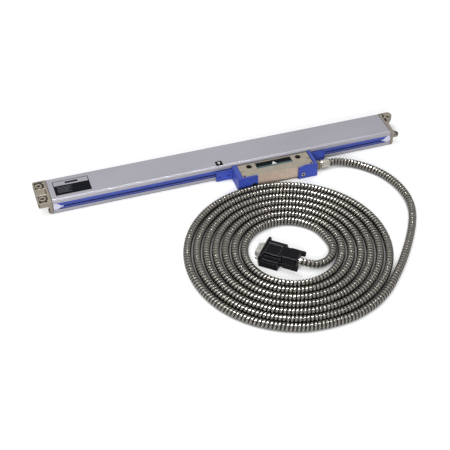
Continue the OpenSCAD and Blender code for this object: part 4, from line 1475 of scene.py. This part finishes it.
@dataclass
class Scale:
    """Housing, lips, end caps, labels and the glass inside.

    Attributes:
        plate: distance from the middle beyond which a cap's plate lies open.
        pocket_floor: cap faces below this height lie in its pockets and take painted shade.
        plug_reach: how far the wedges of the slot's end plugs reach in between the lips.
        plug_open: half the height of those wedges at the ends of the lips.
        block: half the width of the solid block in the middle of an end cap.
        hollows: lowest and highest corners of the hollows in the right cap's ear, whose faces
            take painted shade.
        plug_section: section of the slot's end plugs as Y and Z pairs, in millimetres.
        lines: shares of the nameplate's length that its grey rules take.
    """

    plate: float = 0.2095
    pocket_floor: float = 16.2 * MM
    plug_reach: float = 8.5 * MM
    plug_open: float = 4.5 * MM
    block: float = 5.2 * MM
    hollows: tuple[tuple[Point, Point], ...] = (
        ((0.2086, 0.0177, 0.0134), (0.2113, 0.0243, 0.03)),
        ((0.2086, 0.0263, 0.0134), (0.2113, 0.0327, 0.03)))
    plug_section: Plan = ((-1.0, 4.6), (-1.0, 13.4), (-5.6, 13.4), (-6.9, 9.6), (-6.9, 8.4),
                          (-5.6, 4.6))
    lines: Sequence[float] = (0.42, 0.36, 0.42, 0.30, 0.38)

    def cap(self, side: str) -> None:
        """Makes an end cap, with painted shade in its pockets and on its outer sides, and its
        screws.

        Args:
            side: left or right.
        """
        node = f"{side}_end_cap"
        cap = take(node, f"{side}_cap")
        if side == "right":
            for low_corner, high_corner in self.hollows:
                # The hollows' faces take painted shade.
                carve(cap, slab("hollow", low_corner, high_corner), Zone.PAINTED_SHADE)
        round_edges(cap, 0.35 * MM, 3)
        low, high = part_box(node)

        def pocket(place: Vector, normal: Vector) -> bool:
            """Is true on the floors of the pockets and holes in the cap's plate, which take
            painted shade.
            """
            floor = min(self.pocket_floor, high.z - 0.7 * MM)
            return abs(place.x) > self.plate and normal.z > 0.7 and place.z < floor

        def outer(place: Vector, normal: Vector) -> bool:
            """Is true on the upright faces at the cap's outer end, which take painted shade."""
            outwards = normal.x * math.copysign(1, place.x)
            return abs(place.x) > self.plate and abs(normal.z) < 0.5 and outwards > 0.3

        # Painted shade on the pocket floors and on the outer upright faces.
        tint_faces(cap, Zone.PAINTED_SHADE, pocket)
        tint_faces(cap, Zone.SIDE_LIGHT_AND_SHADE, outer)
        if side == "left":
            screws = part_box("left_cap_screws")
            middle = (screws[0].y + screws[1].y) / 2
            raised = slab("web", (low.x + 1.2 * MM, middle - self.block, high.z - 4.4 * MM),
                          (-self.plate, middle + self.block, high.z - 0.35 * MM))
            round_edges(raised, 0.6 * MM, 3)
            fit(raised, (CAP_PAINT, CAP_EDGE_HIGHLIGHT), Body.SCALE, "cast_paint")
        fit(cap, (CAP_PAINT, CAP_EDGE_HIGHLIGHT, CAP_POCKET_SHADE, CAP_SIDE_SHADE), Body.SCALE, "cast_paint", node)
        facing = (-1.0, 0.0, 0.0) if side == "left" else (1.0, 0.0, 0.0)
        Screws(f"{side}_cap_screws", f"{side}_screws", facing, 1.1 * MM, 0.8 * MM,
               metal=DULL_STEEL).build(Body.SCALE)

    def slot_plug(self, name: str, side: int) -> None:
        """Makes the pale plug that closes the slot at one end and holds the lips' tips.

        Args:
            name: name of the piece.
            side: -1 for the left end, 1 for the right end.
        """
        at = 0 if side < 0 else 1
        upper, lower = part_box("upper_lip_seal"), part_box("lower_lip_seal")
        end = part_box("scale_housing")[at].x - side * 0.15 * MM
        middle = (upper[0].z + lower[1].z) / 2
        inner = upper[at].x + side * 0.1 * MM
        plug = loft(name, [[(x, y * MM, z * MM) for y, z in self.plug_section]
                           for x in sorted((end, inner))])
        round_edges(plug, 0.25 * MM)
        tip = inner - side * self.plug_reach
        ridge, edge, rear = -6.8 * MM, -5.9 * MM, -5.3 * MM
        points = [(inner, edge, middle - self.plug_open), (inner, ridge, middle),
                  (inner, edge, middle + self.plug_open), (tip, ridge + 0.3 * MM, middle),
                  (inner, rear, middle - self.plug_open), (inner, rear, middle + self.plug_open),
                  (tip, rear, middle)]
        wedge = mesh_object("wedge", points, [(0, 1, 3), (1, 2, 3), (0, 4, 5, 2, 1), (4, 6, 5),
                                              (0, 3, 6, 4), (2, 5, 6, 3)])
        plug = merge(name, [plug, wedge])
        close_up(plug)
        fit(plug, SLOT_PLUG, Body.SCALE, "cast_paint")

    def labels(self) -> None:
        """Makes the bare nameplate and the reference mark."""
        plate = Plate("nameplate", "nameplate")
        plate.base()
        plate.inlay("band", FILM_SILVER, oblong(0.018, 0.66, 0.982, 0.965))
        plate.inlay("badge", FILM_BLACK, oblong(0.34, 0.75, 0.70, 0.88), 2)
        for k, reach in enumerate(self.lines):
            y = 0.53 - 0.09 * k
            plate.inlay(f"rule_{k}", FILM_RULE, oblong(0.08, y, 0.08 + reach, y + 0.022))
        mark = Plate("reference_label", "reference")
        mark.base()
        mark.inlay("triangle", FILM_WHITE, [(0.5, 0.24), (0.74, 0.76), (0.26, 0.76)])

    def build(self) -> None:
        """Makes every piece of the scale."""
        housing = refine("scale_housing", "housing", 0.22 * MM)
        fit(housing, (ALUMINIUM, HOUSING_EDGE_HIGHLIGHT), Body.SCALE, "anodised_housing", "scale_housing")
        self.cap("left")
        self.cap("right")
        self.slot_plug("left_slot_plug", -1)
        self.slot_plug("right_slot_plug", 1)
        for name, finish in (("upper_lip", UPPER_LIP), ("lower_lip", LOWER_LIP_SHADED)):
            fit(refine(f"{name}_seal", name, 0.12 * MM), finish, Body.SCALE, "lip_rubber",
                f"{name}_seal")
        dress(SCALE_GLASS, "glass_scale")
        dress(BLACK_RUBBER, "glass_clamp_cord")
        dress(GASKET, "left_end_gasket", "right_end_gasket")
        self.labels()


# ---- Reading head ---------------------------------------------------------------------


@dataclass
class Head:
    """Reading head, its carriage, boards and screws.

    Attributes:
        holes: X and Y of the mounting holes.
        bore: radius around them in which faces take painted shade.
        slot: from which Y to which Y the slot in each end reaches.
        slot_depth: how deep it is.
        corner: distance of the corner holes from the nearer end, and their Y.
        corner_half: half the width in which their faces take painted shade.
        strip: share of the window's depth that its teal strip takes.
    """

    holes: Plan = ((0.023, -0.0135), (0.083, -0.0135))
    bore: float = 3.4 * MM
    slot: tuple[float, float] = (-20.2 * MM, -19.0 * MM)
    slot_depth: float = 4.2 * MM
    corner: tuple[float, float] = (2.4 * MM, -28.6 * MM)
    corner_half: float = 1.3 * MM
    strip: float = 0.3

    def casting(self) -> None:
        """Makes the casting, with painted shade in its bores and end slots and painted light on
        its front.
        """
        casting = refine("head_housing", "head_casting", 0.3 * MM)
        low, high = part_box("head_housing")

        def inside(place: Vector, normal: Vector) -> bool:
            """Is true in the mounting holes, the end slots and the screws' corner holes.

            Args:
                place: centre of a face.
                normal: direction that it faces.

            Returns:
                Whether the face takes painted shade.
            """
            if place.z <= low.z + 1 * MM or (place.z > high.z - 0.25 * MM and normal.z > 0.5):
                return False
            end = min(place.x - low.x, high.x - place.x)
            bores = any(math.hypot(place.x - x, place.y - y) < self.bore for x, y in self.holes)
            slots = end < self.slot_depth and self.slot[0] < place.y < self.slot[1]
            corner = max(abs(end - self.corner[0]), abs(place.y - self.corner[1]))
            return bores or slots or corner < self.corner_half

        def front(place: Vector, normal: Vector) -> bool:
            """Is true on the front face, which takes painted light."""
            return normal.y < -0.9 and place.y < low.y + 0.1 * MM

        # Painted shade in the bores, slots and corner holes; painted light on the front face, a
        # lighter copy of the paint.
        tint_faces(casting, Zone.PAINTED_SHADE, inside)
        tint_faces(casting, Zone.SIDE_LIGHT_AND_SHADE, front)
        fit(casting, (HEAD_PAINT, HEAD_EDGE_SHADE, HEAD_BORE_SHADE, HEAD_FRONT_LIT), Body.HEAD, "head_paint",
            "head_housing")

    def window(self) -> None:
        """Makes the window's film with its teal strip; the index mark stays as it is."""
        film = Plate("window_label", "window", "window_film", Body.HEAD, 0.03 * MM)
        film.base()
        film.inlay("strip", FILM_TEAL, oblong(0.01, 0.04, 0.99, self.strip))
        film.inlay("line", FILM_SILVER, oblong(0.01, 0.0, 0.99, 0.035))
        dress(FILM_WHITE, "index_mark")

    def build(self) -> None:
        """Makes every piece of the head."""
        self.casting()
        self.window()
        fit(refine("head_bottom_cover", "bottom_cover", 0.2 * MM), CAP_PAINT, Body.HEAD,
            "cast_paint", "head_bottom_cover")
        Screws("cover_screws", "bottom_screws", (0, 0, -1), 0.9 * MM, 0.6 * MM).build()
        for finish, nodes in (
                (STEEL, ("blade_screws", "head_blade", "face_roller_a", "face_roller_b",
                         "face_roller_c", "edge_roller_a", "edge_roller_b")),
                (BLACK_STEEL, ("head_grub_screws",)),
                (BRONZE, ("coupling_spring",)),
                (BOARD_GREEN, ("signal_board", "detector_board")),
                (CARRIAGE_GREY, ("scanning_carriage",)),
                (LAMP_RESIN, ("led_module",)),
                (SCALE_GLASS, ("scanning_reticle",))):
            dress(finish, *nodes)


@dataclass
class Brackets:
    """The two blue alignment brackets and their screws.

    Attributes:
        hole: radius around a screw in which a bracket's faces take painted shade.
    """

    hole: float = 3.1 * MM

    def build(self) -> None:
        """Makes the brackets, with painted shade on the hole walls and on the roundings."""
        screws = [(low + high) / 2 for low, high in islands("bracket_screws")]
        for side in ("left", "right"):
            clip = refine(f"{side}_bracket", f"{side}_clip", 0.4 * MM)
            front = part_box(f"{side}_bracket")[0].y

            def in_hole(place: Vector, normal: Vector) -> bool:
                """Is true on the walls of the holes for the screws."""
                near = min(math.hypot(place.x - c.x, place.z - c.z) for c in screws)
                return near < self.hole and place.y > front + 0.05 * MM

            # Painted shade on the walls of the screw holes.
            tint_faces(clip, Zone.PAINTED_SHADE, in_hole)
            fit(clip, (BLUE_PLASTIC, BLUE_EDGE_SHADE, BLUE_HOLE_SHADE), Body.HEAD, "blue_plastic",
                f"{side}_bracket")
        Screws("bracket_screws", "clip_screws", (0, -1, 0), 1.5 * MM, 1.5 * MM).build()


# ---- All together ------------------------------------------------------------------------


def main() -> None:
    """Builds the studio and every sub-assembly."""
    logging.basicConfig(level=logging.INFO, format="%(name)s: %(message)s")
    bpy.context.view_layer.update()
    studio = Studio()
    studio.camera()
    cable = Cable()
    hose = cable.hose()
    cable.gland()
    plug_pieces = Plug().build()
    Scale().build()
    Head().build()
    Brackets().build()
    studio.build()


if __name__ == "__main__":
    main()
